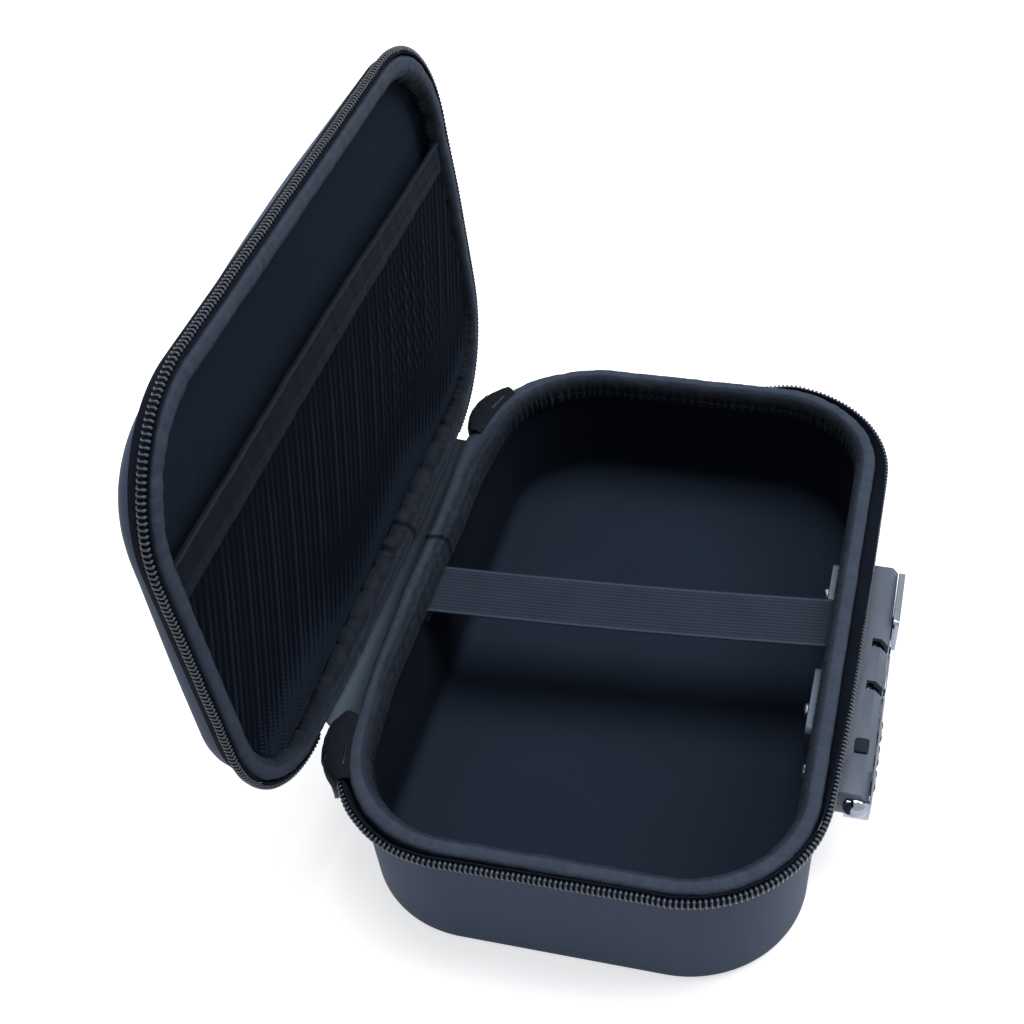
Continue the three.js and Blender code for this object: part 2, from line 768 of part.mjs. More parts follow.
// A comb behind the dials: one springy finger with a pad for each
function detentGeometry() {
  const sheet = 0.8;
  const back = barBack;
  const front = back - sheet;
  const low = dialZ - 5.7;
  const padFront = dialAxisY + dialRadius + fitGap + 0.1;
  const spine = box([dialBay[0] + 0.5, front, low], [dialBay[1] - 0.5, back, low + 2]);
  const fingers = dialXs.map((x) => box([x - 1.5, front, low], [x + 1.5, back, dialZ + 1.5]));
  const pads = dialXs.map((x) => box([x - 1.5, padFront, dialZ - 0.5], [x + 1.5, back - 0.2, dialZ + 0.5]));
  return join([spine, ...fingers, ...pads]);
}

function buttonGeometry() {
  const start = lockHalf - buttonLength;
  const span = [faceBack, faceBack - buttonThickness];
  const block = platePrism([start, lockHalf], [-buttonHeight / 2, buttonHeight / 2], [2, 2], span);
  const stem = box(
    [stemX - stemWidth / 2, faceBack - 0.5, -stemHeight / 2],
    [stemX + stemWidth / 2, housingInside + 2, stemHeight / 2],
  );
  return join([block, stem]);
}

// The bar behind the slots: each arm holds a finger across a slot, and all moves with the button
function latchBarGeometry() {
  const front = barBack - barThickness;
  const end = stemX + stemWidth / 2;
  const bar = box([barStart, front, barZ - barHeight / 2], [end, barBack, barZ + barHeight / 2]);
  const post = box(
    [stemX - stemWidth / 2, housingInside + 2 + fitGap, -stemHeight / 2],
    [end, front + 1, barZ + barHeight / 2],
  );
  const parts = [bar, post];
  for (const x of slotXs) {
    const arm = x + slotWidth / 2 + 1;
    const tip = x - slotWidth / 2 - 0.5;
    parts.push(box([arm, armFront, barZ - 1.2], [arm + armWidth, front + 1, barZ + 1.2]));
    parts.push(box([tip, armFront, barZ - 1.2], [arm + 1, armFront + fingerThickness, barZ + 1.2]));
  }
  return join(parts);
}

// An extension spring that draws the bar back, between the dial bay's rib and the bar
function springGeometry() {
  const room = barStart - (dialBay[1] + ribThickness);
  const from = dialBay[1] + ribThickness + (room - springLength) / 2;
  class Helix extends THREE.Curve {
    getPoint(share, target = new THREE.Vector3()) {
      const angle = share * springTurns * 2 * Math.PI;
      const y = barBack - springRadius + springRadius * Math.cos(angle);
      const z = barZ + springRadius * Math.sin(angle);
      return target.set(from + springLength * share, y, z);
    }
  }
  const section = new THREE.Shape();
  section.absarc(0, 0, springWire / 2, 0, 2 * Math.PI, false);
  return new THREE.ExtrudeGeometry(section, {
    steps: springTurns * 12,
    curveSegments: 3,
    extrudePath: new Helix(),
    bevelEnabled: false,
  });
}

// Pressed plate inside the case: a shallow pan with its rim on the lining
const liningFace = shellThickness + fitGap + liningThickness;

function backingPlateGeometry([from, to]) {
  const back = liningFace + fitGap;
  const low = plateTop - plateHeight;
  const body = platePrism([from, to], [low, plateTop], [3, 3], [back, back + plateDepth]);
  const hollow = platePrism(
    [from + plateSheet, to - plateSheet], [low + plateSheet, plateTop - plateSheet],
    [1.8, 1.8], [back - 1, back + plateDepth - plateSheet],
  );
  const centre = [(from + to) / 2, plateTop - plateHeight / 2];
  return cut(body, [hollow, rod('y', centre, back, back + plateDepth + 1, screwRadius + fitGap, 12)]);
}

function screwGeometry(x, z, headSeat) {
  const shank = rod('y', [x, z], -fitGap - basePlateThickness, headSeat + 0.2, screwRadius, 12);
  const head = new THREE.CylinderGeometry(screwHeadRadius * 0.7, screwHeadRadius, screwHeadThickness, 16);
  head.translate(x, headSeat + screwHeadThickness / 2, z);
  return join([shank, head]);
}

function washerGeometry() {
  const low = liningFace + fitGap;
  const ring = rod('y', [looseScrewX, looseScrewZ], low, low + washerThickness, washerRadius, 16);
  return cut(ring, [rod('y', [looseScrewX, looseScrewZ], low - 1, low + 2, screwRadius + fitGap, 12)]);
}

// The lock stands square on the leaning front wall
function lockFrame() {
  const group = new THREE.Group();
  const lean = Math.atan(baseDraft);
  const centreZ = lockTopZ - lockHalfHeight * Math.cos(lean);
  group.position.set(lockCentreX, -(rimWidth / 2 - wallInset(base, centreZ)), centreZ);
  group.rotation.x = lean;
  group.updateMatrix();
  return group;
}

function addLock(parent, frame) {
  const steel = [0xc4c7cc, 0.3, 1];
  frame.add(mesh('lock_housing', housingGeometry(), 0x59616e, 0.45));
  frame.add(mesh('lock_face_plate', facePlateGeometry(), 0xd5d8dd, 0.18, 1));
  frame.add(mesh('lock_base_plate', basePlateGeometry(), ...steel));
  const spindle = rod('x', [dialAxisY, dialZ], dialBay[0] - ribThickness, dialBay[1] + ribThickness, spindleRadius);
  frame.add(mesh('dial_spindle', spindle, ...steel));
  dialXs.forEach((x, index) => frame.add(mesh(`dial_${index + 1}`, dialGeometry(x), 0x20242b, 0.4)));
  frame.add(mesh('dial_detent', detentGeometry(), ...steel));
  frame.add(mesh('release_button', buttonGeometry(), 0xd5d8dd, 0.15, 1));
  frame.add(mesh('latch_bar', latchBarGeometry(), ...steel));
  frame.add(mesh('release_spring', springGeometry(), ...steel));
  const plateNames = ['far', 'near'];
  plateSpans.forEach((span, index) => {
    frame.add(mesh(`backing_plate_${plateNames[index]}`, backingPlateGeometry(span), 0xb7bdc8, 0.4, 0.6));
  });
  const plateSeat = liningFace + 2 * fitGap + plateDepth;
  const washerSeat = liningFace + 2 * fitGap + washerThickness;
  const seats = [plateSeat, plateSeat, washerSeat];
  fixingPoints().forEach(([x, z], index) => {
    frame.add(mesh(`lock_screw_${index + 1}`, screwGeometry(x, z, seats[index]), ...steel));
  });
  frame.add(mesh('screw_washer', washerGeometry(), ...steel));
  parent.add(frame);
}

// Clearance holes for the lock's screws, placed on the case wall
function screwHoles(frame) {
  return fixingPoints().map(([x, z]) => {
    const hole = rod('y', [x, z], -3, liningFace + 3, screwRadius + fitGap, 12);
    hole.applyMatrix4(frame.matrix);
    return hole;
  });
}

function addBase(parent, frame) {
  const holes = screwHoles(frame);
  parent.add(mesh('base_shell', cut(shellGeometry(base, baseFillet, baseInnerFillet), holes), 0x2a303d, 0.7));
  parent.add(mesh('base_lining', cut(liningGeometry(base, baseInnerFillet), holes), 0x1a2130, 0.95));
  parent.add(mesh('base_binding', rimLoop(bindingProfile(base), base.rimZ), 0x3a404d, 0.9));
  parent.add(mesh('base_zip_tape', rimRun(tapeProfile(base), base.rimZ), 0x1c212c, 0.9));
  parent.add(mesh('base_zip_coil', rimRun(coilProfile(), base.rimZ), 0x343a48, 0.45));
  parent.add(mesh('divider_strap', strapGeometry(), 0x2b3040, 0.9));
  parent.add(mesh('hinge_web', hingeWebGeometry(), 0x5c6d74, 0.9));
  parent.add(mesh('zip_stop_left', stopGeometry(-1), 0xb9bcc2, 0.3, 1));
  parent.add(mesh('zip_stop_right', stopGeometry(1), 0xb9bcc2, 0.3, 1));
  addSlider(parent, -1, 'left');
  addSlider(parent, 1, 'right');
}

// The lid is laid out closed, then turned open about the hinge line
function addLid(parent) {
  const turn = new THREE.Group();
  turn.position.set(0, hingeY, hingeZ);
  turn.rotation.x = -THREE.MathUtils.degToRad(openAngle);
  const layout = new THREE.Group();
  layout.position.set(0, -hingeY, -hingeZ);
  layout.add(mesh('lid_shell', shellGeometry(lid, lidFillet, lidInnerFillet), 0x2a303d, 0.7));
  layout.add(mesh('lid_lining', liningGeometry(lid, lidInnerFillet), 0x1a2130, 0.95));
  layout.add(mesh('lid_binding', rimLoop(bindingProfile(lid), lid.rimZ), 0x3a404d, 0.9));
  layout.add(mesh('lid_zip_tape', rimRun(tapeProfile(lid), lid.rimZ), 0x1c212c, 0.9));
  layout.add(mesh('lid_zip_coil', rimRun(coilProfile(), lid.rimZ), 0x343a48, 0.45));
  layout.add(mesh('pocket_panel', pocketGeometry(), 0x141926, 0.95));
  layout.add(mesh('pocket_band', pocketBandGeometry(), 0x232837, 0.9));
  turn.add(layout);
  parent.add(turn);
}

const lockableCase = new THREE.Group();
const frame = lockFrame();
addBase(lockableCase, frame);
addLid(lockableCase);
addLock(lockableCase, frame);

export default lockableCase;
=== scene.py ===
# Looks of the zip-round moulded storage case that stands open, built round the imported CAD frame.
# Shapes are worked out in millimetres and put into the meshes in metres.
import json
from math import cos, pi, radians, sin
from types import SimpleNamespace as Look

import bmesh
import bpy
import numpy as np
from mathutils import Matrix, Vector

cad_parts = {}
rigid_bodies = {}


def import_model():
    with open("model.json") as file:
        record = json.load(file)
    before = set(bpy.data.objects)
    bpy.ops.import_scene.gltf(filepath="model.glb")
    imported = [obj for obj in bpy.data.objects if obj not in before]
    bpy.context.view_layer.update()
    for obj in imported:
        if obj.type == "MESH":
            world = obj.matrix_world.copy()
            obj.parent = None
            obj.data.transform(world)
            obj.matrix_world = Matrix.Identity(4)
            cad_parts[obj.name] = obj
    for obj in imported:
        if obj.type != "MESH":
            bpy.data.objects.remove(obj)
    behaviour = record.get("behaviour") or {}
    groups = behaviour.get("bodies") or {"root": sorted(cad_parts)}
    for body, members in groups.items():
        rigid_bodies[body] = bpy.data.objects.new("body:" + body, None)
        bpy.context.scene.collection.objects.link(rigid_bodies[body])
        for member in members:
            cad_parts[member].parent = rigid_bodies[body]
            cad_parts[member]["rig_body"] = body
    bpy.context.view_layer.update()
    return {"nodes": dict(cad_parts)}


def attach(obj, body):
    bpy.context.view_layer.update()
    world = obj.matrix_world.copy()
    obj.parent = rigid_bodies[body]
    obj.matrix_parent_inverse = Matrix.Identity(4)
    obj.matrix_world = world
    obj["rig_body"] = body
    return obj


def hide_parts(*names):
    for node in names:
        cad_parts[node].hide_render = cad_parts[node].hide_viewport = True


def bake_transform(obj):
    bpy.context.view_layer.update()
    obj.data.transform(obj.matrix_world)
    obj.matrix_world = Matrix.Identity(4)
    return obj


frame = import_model()
nodes = frame["nodes"]
mm = 0.001
print("stage: frame loaded,", len(nodes), "CAD nodes")

# The rim of the case and the hinge line, as the CAD has them
rim = Look(
    halfX=82.5, halfY=36.0, radius=44.0,  # inner rectangle and corner radius
    baseTop=57.5, lidRim=59.0,            # heights of the two rims when shut
    hingeY=82.6, hingeZ=48.4, openAngle=92.5,
    rearPull=4.0, rearSag=2.3,            # the hinge draws the tray's rear rim out and down by this much
    lidSet=((-160, -120, -90, 0, 225), (0.8, 0.6, 0, 0, 0)),  # how far the open lid's far end leans in
)
quarter = rim.radius * pi / 2
runs = [0, rim.halfX, quarter, 2 * rim.halfY, quarter, 2 * rim.halfX, quarter, 2 * rim.halfY, quarter, rim.halfX]
knots = np.cumsum(runs)
rimTotal = float(knots[-1])
coreX = np.array([0, -1, -1, -1, -1, 1, 1, 1, 1, 0]) * rim.halfX
coreY = np.array([1, 1, 1, -1, -1, -1, -1, 1, 1, 1]) * rim.halfY
coreAngle = np.radians([90, 90, 180, 180, 270, 270, 360, 360, 450, 450])
rearEdge = rim.halfY + rim.radius


def stacked(*parts):
    # Coordinates of any matching shapes, joined as the last axis
    return np.stack(np.broadcast_arrays(*parts), -1)


def bell(value, centre, width):
    # Gauss curve: 1 at the centre, falling off over the width
    return np.exp(-((value - centre) / width) ** 2)


def swing(angle):
    # A sine between 0 and 1
    return 0.5 + 0.5 * np.sin(angle)


def circle(count):
    # Angles in even steps once round
    return np.linspace(0, 2 * pi, count, endpoint=False)


def skins(front, back, axis=0):
    # The front followed by the back in reverse, as a closed section runs
    return np.concatenate([front, np.flip(back, axis)], axis)


def unit(vectors):
    # Each vector divided by its length
    return vectors / np.linalg.norm(vectors, axis=1, keepdims=True)


def sideways(line):
    # A flat line's direction turned by a right angle
    tangent = unit(np.gradient(line, axis=0))
    return stacked(-tangent[:, 1], tangent[:, 0])


def rimPoint(s, offset):
    # A point of the inner rectangle plus (corner radius + offset) along the outward direction, where both
    # run piecewise evenly with the distance s round the rim, from the middle of the rear edge towards -X.
    s = np.mod(s, rimTotal)
    angle = np.interp(s, knots, coreAngle)
    reach = rim.radius + offset
    return np.interp(s, knots, coreX) + reach * np.cos(angle), np.interp(s, knots, coreY) + reach * np.sin(angle)


def signedRun(s):
    # Distance round the rim from the middle of the rear edge, positive towards -X and negative towards +X
    return np.mod(s + rimTotal / 2, rimTotal) - rimTotal / 2


def ease(low, high, value):
    # Cubic ease from 0 at low to 1 at high
    t = np.clip((value - low) / (high - low), 0, 1)
    return t * t * (3 - 2 * t)


def farSide(s):
    # 1 along the far side, eased at its two corners
    return ease(knots[6] - 8, knots[6] + 14, s) * (1 - ease(knots[8] - 26, knots[8] - 4, s))


def softened(s, table):
    # A table of (places, values) round the rim, its corners softened by the mean of three nearby readings
    return sum(np.interp(np.mod(s + d, rimTotal), *table) for d in (-7, 0, 7)) / 3


def rearShare(s):
    # 1 along the hinge, 0 beyond the two rear corners
    run = signedRun(s)
    return ease(-98, -55, run) * ease(92, 50, run)


def basePlace(s, offset, depth):
    # Rim point at a depth below the tray's rim; the top of the rear wall follows the pull of the hinge
    share = rearShare(s) * (1 - ease(6, 38, depth))
    x, y = rimPoint(s, offset + rim.rearPull * share)
    return stacked(x, y, rim.baseTop - depth - rim.rearSag * share)


def openLid(points):
    # Shut-lid points turned about the hinge line by the opening angle
    a = radians(rim.openAngle)
    y, z = points[..., 1] - rim.hingeY, points[..., 2] - rim.hingeZ
    turned = points.copy()
    turned[..., 1] = rim.hingeY + y * cos(a) + z * sin(a)
    turned[..., 2] = rim.hingeZ - y * sin(a) + z * cos(a)
    return turned


def lidPlace(s, offset, depth):
    # Rim point at a depth above the shut lid's rim, with the lid then opened and its far end leaning in
    x, y = rimPoint(s, offset)
    lean = np.interp(signedRun(s), *rim.lidSet) * ease(-225, -190, signedRun(s))
    return openLid(stacked(x, y, rim.lidRim + depth - lean))


def cornerShare(s):
    # 1 in the middle of a corner's arc, 0 on the straights
    s = np.mod(s, rimTotal)
    centres = [(knots[i] + knots[i + 1]) / 2 for i in (1, 3, 5, 7)]
    return sum(bell(s, c, 27) for c in centres)


def wander(s, seed):
    # Sum of sines of unrelated lengths with seeded phases: an even, repeatable unevenness between -1 and 1
    phases = np.random.default_rng(seed).uniform(0, 2 * pi, 5)
    waves = [rimTotal / n for n in (5, 11, 19, 31, 53)]
    return sum(np.sin(2 * pi * s / w + p) for w, p in zip(waves, phases)) / 3.2


def runningLength(points):
    # Distance along a row of points
    steps = np.linalg.norm(np.diff(points, axis=0), axis=1)
    return np.concatenate([[0], np.cumsum(steps)])


def addObject(name, data):
    made = bpy.data.objects.new(name, data)
    bpy.context.scene.collection.objects.link(made)
    return made


def pointsOf(mesh):
    # The mesh's points in metres, one row each
    place = np.zeros(len(mesh.vertices) * 3, np.float32)
    mesh.vertices.foreach_get("co", place)
    return place.reshape(-1, 3)


def rework(mesh, *steps):
    # The mesh taken through steps of bmesh
    work = bmesh.new()
    work.from_mesh(mesh)
    for step in steps:
        step(work)
    work.to_mesh(mesh)
    work.free()


def merge(distance):
    # A step that joins points nearer than the distance in metres
    return lambda work: bmesh.ops.remove_doubles(work, verts=work.verts, dist=distance)


def faceOut(work):
    bmesh.ops.recalc_face_normals(work, faces=work.faces)


def flatten(work):
    # Takes out the edges between faces that lie in one plane
    bmesh.ops.dissolve_limit(work, angle_limit=radians(3), verts=work.verts, edges=work.edges)


def surface(
    name, points, closeU=False, closeV=False, spanU=None, spanV=None, cap=False, weld=False, marks=None, sharp=40
):
    # Quads between neighbouring rows and columns of a grid of points in mm, turned outwards by the sign of the
    # enclosed volume. The UV map holds the distances spanU and spanV in metres. Marks are point attributes.
    rows, cols = points.shape[:2]
    i, j = np.meshgrid(
        np.arange(rows if closeU else rows - 1), np.arange(cols if closeV else cols - 1), indexing="ij"
    )
    nextI, nextJ = (i + 1) % rows, (j + 1) % cols
    quads = stacked(i * cols + j, nextI * cols + j, nextI * cols + nextJ, i * cols + nextJ).reshape(-1, 4)
    u = np.arange(rows + 1.0) if spanU is None else np.append(spanU, 2 * spanU[-1] - spanU[-2])
    v = np.arange(cols + 1.0) if spanV is None else np.append(spanV, 2 * spanV[-1] - spanV[-2])
    uv = np.stack(
        [stacked(u[a], v[b]) for a, b in ((i, j), (i + 1, j), (i + 1, j + 1), (i, j + 1))], -2
    ).reshape(-1, 4, 2)
    flat = points.reshape(-1, 3)
    a, b, c, d = (flat[quads[:, k]] for k in range(4))
    volume = np.sum(a * np.cross(b, c)) + np.sum(a * np.cross(c, d))
    faces = quads.tolist()
    if cap:
        first, last = list(range(cols)), list(range((rows - 1) * cols, rows * cols))
        for ring in (first[::-1], last):
            faces.append(ring)
            fan = flat[ring]
            volume += np.sum(fan[0] * np.cross(fan[1:-1], fan[2:]))
    loops = uv.reshape(-1, 2)
    capUv = np.zeros((2 * cols if cap else 0, 2))
    if volume < 0:
        faces = [face[::-1] for face in faces]
        loops = uv[:, ::-1].reshape(-1, 2)
    mesh = bpy.data.meshes.new(name)
    mesh.from_pydata((flat * mm).tolist(), [], faces)
    layer = mesh.uv_layers.new(name="UVMap")
    layer.data.foreach_set("uv", (np.concatenate([loops, capUv]) * mm).astype(np.float32).ravel())
    for key, value in (marks or {}).items():
        mesh.attributes.new(key, "FLOAT", "POINT").data.foreach_set(
            "value", np.broadcast_to(value, (rows, cols)).astype(np.float32).ravel()
        )
    if weld:
        rework(mesh, merge(1e-6))
    mesh.shade_smooth()
    mesh.set_sharp_from_angle(angle=radians(sharp))
    return addObject(name, mesh)


def tube(name, points, **more):
    # A surface closed round its section and capped at its ends
    return surface(name, points, closeV=True, cap=True, **more)


def dress(piece, material, body=None, replaced=()):
    # Gives a finished piece its material and its body, and hides the CAD nodes that it stands for
    piece.data.materials.clear()
    piece.data.materials.append(material)
    if body:
        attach(piece, body)
    if replaced:
        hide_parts(*replaced)


def linear(hexColour):
    # sRGB hex to linear: the power curve above 0.04045, the straight line below
    c = np.array([int(hexColour[k:k + 2], 16) / 255 for k in (1, 3, 5)])
    c = np.where(c <= 0.04045, c / 12.92, ((c + 0.055) / 1.055) ** 2.4)
    return (*c.tolist(), 1.0)


def node(material, kind, links=None, **settings):
    # One shader node with its settings; an entry of links is a value for a socket or the socket that feeds it
    made = material.node_tree.nodes.new("ShaderNode" + kind)
    for key, value in settings.items():
        setattr(made, key, value)
    for key, value in (links or {}).items():
        if isinstance(value, bpy.types.NodeSocket):
            material.node_tree.links.new(value, made.inputs[key])
        else:
            made.inputs[key].default_value = value
    return made


def mixed(material, factor, low, high):
    # The colour between low and high
    return node(material, "Mix", {0: factor, 6: low, 7: high}, data_type="RGBA").outputs[2]


def maths(material, operation, first, second):
    return node(material, "Math", {0: first, 1: second}, operation=operation).outputs[0]


def mapped(material, value, *span):
    # From between the first two values of the span to between the last two
    return node(material, "MapRange", {0: value, **dict(enumerate(span, 1))}).outputs[0]


def noise(material, place, size, detail, rough=0.5):
    # Clouds whose cells are as wide as the size in metres
    look = {"Vector": place, "Scale": 1 / size, "Detail": detail, "Roughness": rough}
    return node(material, "TexNoise", look).outputs["Fac"]


def bumped(material, height, strength, distance, **more):
    # Relief from a height; more may hold the normal that it adds to
    look = {"Height": height, "Strength": strength, "Distance": distance, **more}
    return node(material, "Bump", look).outputs[0]


def shaded(material, look):
    # The material, ended by a principled shader with these sockets
    shader = node(material, "BsdfPrincipled", look)
    node(material, "OutputMaterial", {"Surface": shader.outputs[0]})
    return material


def bareMaterial(name):
    material = bpy.data.materials.new(name)
    material.use_nodes = True
    material.node_tree.nodes.clear()
    return material


def waveScale(pitch):
    # A band texture repeats every 2 pi / (20 x scale)
    return 2 * pi / 20 / pitch


def clothMaterial(name, **look):
    # Woven or knitted cloth: crossed bands on the UV map give the threads, a soft cloud shifts the colour.
    # The lifting mark lightens it where the cloth is rubbed and paints highlights on ridges, hems and rolled edges;
    # the mark "shade" darkens it as painted shade in folds, creases, seams and on walls.
    material = bareMaterial(name)
    coords = node(material, "TexCoord").outputs
    wave = {
        "Vector": coords[look.get("space", "UV")], "Distortion": look.get("uneven", 0.6), "Detail": 1.0,
        "Detail Scale": 2.0
    }
    weave = maths(material, "MULTIPLY", *(
        node(material, "TexWave", {**wave, "Scale": waveScale(pitch)}, bands_direction=way).outputs["Fac"]
        for way, pitch in zip("XY", look["pitch"])
    ))
    cloud = noise(material, coords["Object"], look.get("cloud", 0.018), 4.0, 0.6)
    base = mixed(material, cloud, linear(look["dark"]), linear(look["light"]))
    contrast = look.get("contrast", 0.15)
    threadShade = mapped(material, weave, 0.0, 1.0, 1 - contrast, 1 + contrast)
    tinted = node(material, "VectorMath", {0: base, "Scale": threadShade}, operation="SCALE").outputs[0]
    wearAndHighlight, shade = (
        node(material, "Attribute", attribute_name=mark).outputs["Fac"] for mark in ("wearAndHighlight", "shade")
    )
    worn = mixed(material, wearAndHighlight, tinted, linear(look.get("worn", look["light"])))
    colour = mixed(material, shade, worn, linear(look.get("deep", "#020409")))
    fine = bumped(material, weave, look.get("bump", 0.25), 0.0003)
    lumps = noise(material, coords["Object"], look.get("lump", 0.006), 2.0)
    return shaded(material, {
        "Base Color": colour, "Normal": bumped(material, lumps, look.get("lumpy", 0.1), 0.0008, Normal=fine),
        "Roughness": look.get("rough", 0.85), "Specular IOR Level": look.get("specular", 0.2),
        "Sheen Weight": look.get("sheen", 0.15), "Sheen Roughness": 0.45, "Sheen Tint": linear("#8f9bb0"),
    })


def hardMaterial(name, **look):
    # Metal or moulded plastic: fine grain in roughness and bump, faint clouds in the colour
    material = bareMaterial(name)
    coords = node(material, "TexCoord").outputs["Object"]
    stretch = node(material, "Mapping", {"Vector": coords, "Scale": look.get("stretch", (1, 1, 1))}).outputs[0]
    grain = noise(material, stretch, look.get("grain", 0.0006), 3.0)
    cloud = noise(material, coords, look.get("cloud", 0.012), 3.0)
    return shaded(material, {
        "Base Color": mixed(material, cloud, linear(look["dark"]), linear(look["light"])),
        "Roughness": mapped(material, grain, 0.3, 0.7, *look["rough"]), "Metallic": look.get("metal", 0.0),
        "Normal": bumped(material, grain, look.get("bump", 0.05), 0.0002),
    })


finishes = {
    # polyester laminated on moulded EVA: smooth, satin slate with a barely visible weave
    "shell": clothMaterial(
        "laminatedPolyesterOnEva", space="Object", dark="#3f4a5e", light="#4a576e", pitch=(0.0007, 0.0007),
        contrast=0.04, bump=0.08, rough=0.6, specular=0.15, sheen=0.05, cloud=0.06, lumpy=0.05
    ),
    # brushed tricot: deep navy, matt, with painted shade that makes its walls darker than the floor
    "lining": clothMaterial(
        "brushedTricotLining", space="Object", dark="#1f2733", light="#242d3b", pitch=(0.0006, 0.0008),
        contrast=0.06, bump=0.1, rough=0.95, specular=0.03, sheen=0.02, cloud=0.05
    ),
    # bias tape rolled over the rim: slate, fine ribs, lighter along its crown by rubbing and a painted highlight,
    # painted shade nearly black in its folds
    "binding": clothMaterial(
        "rolledBiasTape", dark="#1b212b", light="#323a48", worn="#3f4857", deep="#04070c", pitch=(0.0006, 0.0005),
        contrast=0.1, bump=0.3, rough=0.8, specular=0.1, sheen=0.08, cloud=0.006, lumpy=0.9, lump=0.004
    ),
    # woven polyester tape: black-blue, its ribs just visible
    "zipTape": clothMaterial(
        "wovenZipTape", dark="#10151f", light="#181e2a", pitch=(0.0006, 0.0009), bump=0.4, rough=0.9, specular=0.05,
        sheen=0.02
    ),
    # ribbed elastic: streaky along its length, light on its hems
    "strap": clothMaterial(
        "ribbedElasticWebbing", dark="#1e242f", light="#2d3442", worn="#434d5f", pitch=(0.0008, 0.0016),
        contrast=0.2, uneven=1.6, bump=0.4, rough=0.8, specular=0.1, sheen=0.08, cloud=0.011
    ),
    # plain woven tape: flat, a little bluer and lighter than the bindings beside it
    "web": clothMaterial(
        "plainWovenHingeTape", dark="#232a35", light="#2b333f", worn="#485560", pitch=(0.0006, 0.0006),
        contrast=0.08, bump=0.2, rough=0.7, specular=0.15, sheen=0.08, cloud=0.03
    ),
    # thin knitted mesh: almost black, with a painted highlight only on the ridges of its pleats
    "pocket": clothMaterial(
        "gatheredPocketMesh", dark="#070a11", light="#0b0f17", worn="#252f3f", pitch=(0.0011, 0.0011),
        contrast=0.06, bump=0.1, rough=0.95, specular=0.03, sheen=0.03
    ),
    # folded edging over the elastic of the pocket's mouth: soft black-blue with a painted highlight along its
    # rolled fold
    "band": clothMaterial(
        "foldedPocketEdging", dark="#11161f", light="#181e29", worn="#2b323f", pitch=(0.0006, 0.0010), bump=0.3,
        specular=0.06, sheen=0.05, cloud=0.009
    ),
    # twisted polyester: small light dashes on the binding
    "thread": clothMaterial(
        "twistedSewingThread", dark="#1d232d", light="#2a313d", pitch=(0.0003, 0.0003), contrast=0.2, bump=0.3,
        rough=0.6, specular=0.2, sheen=0.05
    ),
    # extruded nylon: glossy dark beads, each with its own thin highlight
    "coil": hardMaterial(
        "extrudedNylonCoil", dark="#252d3a", light="#353f51", rough=(0.16, 0.28), grain=0.0008, bump=0.03
    ),
    # gunmetal plating: dark with sharp glints on its edges
    "slider": hardMaterial("gunmetalPlatedZinc", dark="#2b3038", light="#3f454f", rough=(0.2, 0.34), metal=1.0),
    # satin paint on cast zinc: flat slate blue
    "lockBody": hardMaterial(
        "satinPaintedZincCasting", dark="#434d5d", light="#4e596a", rough=(0.42, 0.55), grain=0.0005, bump=0.06
    ),
    # bright nickel: takes up the white around it, darker where it sees the case
    "chrome": hardMaterial(
        "polishedNickelPlating", dark="#7b828e", light="#979eaa", rough=(0.07, 0.15), metal=1.0, grain=0.002,
        bump=0.02
    ),
    # zinc-plated steel: cool grey, softly blurred
    "steel": hardMaterial("zincPlatedSteel", dark="#9fa5ae", light="#bcc1c9", rough=(0.22, 0.38), metal=1.0),
    # pressed sheet with a dull coat: slate with a faint metallic run
    "plate": hardMaterial(
        "dullCoatedPressedSheet", dark="#4a5566", light="#596578", rough=(0.4, 0.55), metal=0.3, stretch=(0.3, 1, 1)
    ),
    # moulded acetal: black with a soft shine
    "dial": hardMaterial("mouldedBlackAcetal", dark="#15181d", light="#1d2127", rough=(0.32, 0.45)),
    # printed ink: plain matt white
    "digit": hardMaterial("printedWhiteInk", dark="#d9dcdf", light="#e8eaec", rough=(0.5, 0.6)),
}
print("stage: materials made")

shellLook = dict(seat=1.5, wall=3.0, leg=5.0, mouth=2.5, sheetGap=0.3, sheet=1.0, steps=420)
tray = Look(
    **shellLook, height=57.5, draft=0.012, fillet=4.2, innerFillet=6.0, linedFillet=7.0,
    shadeWall=0.62, set=((0, 751), (0, 0)),
)
cover = Look(
    **shellLook, height=13.5, draft=0.06, fillet=8.0, innerFillet=4.8, linedFillet=4.5,
    shadeWall=0.5,
    set=(
        (0, 60, 110, 145, 180, 205, 225, 245, 258, 270, 285, 300, 320, 350, 390, 430, 460, 480, 505, 751),
        (0, 0, 3.0, 3.5, 3.0, 2.1, 1.2, 1.7, 1.0, -0.4, -2.5, -2.2, -0.9, 0.5, 1.2, 0.4, -0.2, -0.5, 0, 0),
    ),
)


def cupSide(half, extra, floor, fillet):
    # From the middle of the floor out to the fillet, a quarter circle up into the wall, then the drafted wall
    # to the mouth: rows of (inset from the rim, height, share of the ring's size)
    centreHeight = floor + fillet
    drafted = half.height - half.leg
    centreInset = half.seat + extra + max(0, drafted - centreHeight) * half.draft + fillet
    spread = np.linspace(0, 1, 9) ** 0.7
    flat = stacked(centreInset, floor, spread)[:-1]
    a = np.linspace(0, pi / 2, 9)
    arc = stacked(centreInset - fillet * np.sin(a), centreHeight - fillet * np.cos(a), 1)
    high = np.linspace(centreHeight, half.height - half.mouth, 10)[1:]
    insetHigh = half.seat + extra + np.maximum(0, drafted - high) * half.draft
    return np.concatenate([flat, arc, stacked(insetHigh, high, 1)])


def cup(half, place, outer, inner):
    # The outer side's profile followed by the inner one reversed, carried round the rim; floors close on a point
    profile = skins(outer, inner)
    s = np.linspace(0, rimTotal, half.steps, endpoint=False)
    inset, height, size = profile.T
    points = place(s[:, None], -inset, half.height - height)
    middle = points.mean(axis=0)
    return middle + (points - middle) * size[:, None], s, profile


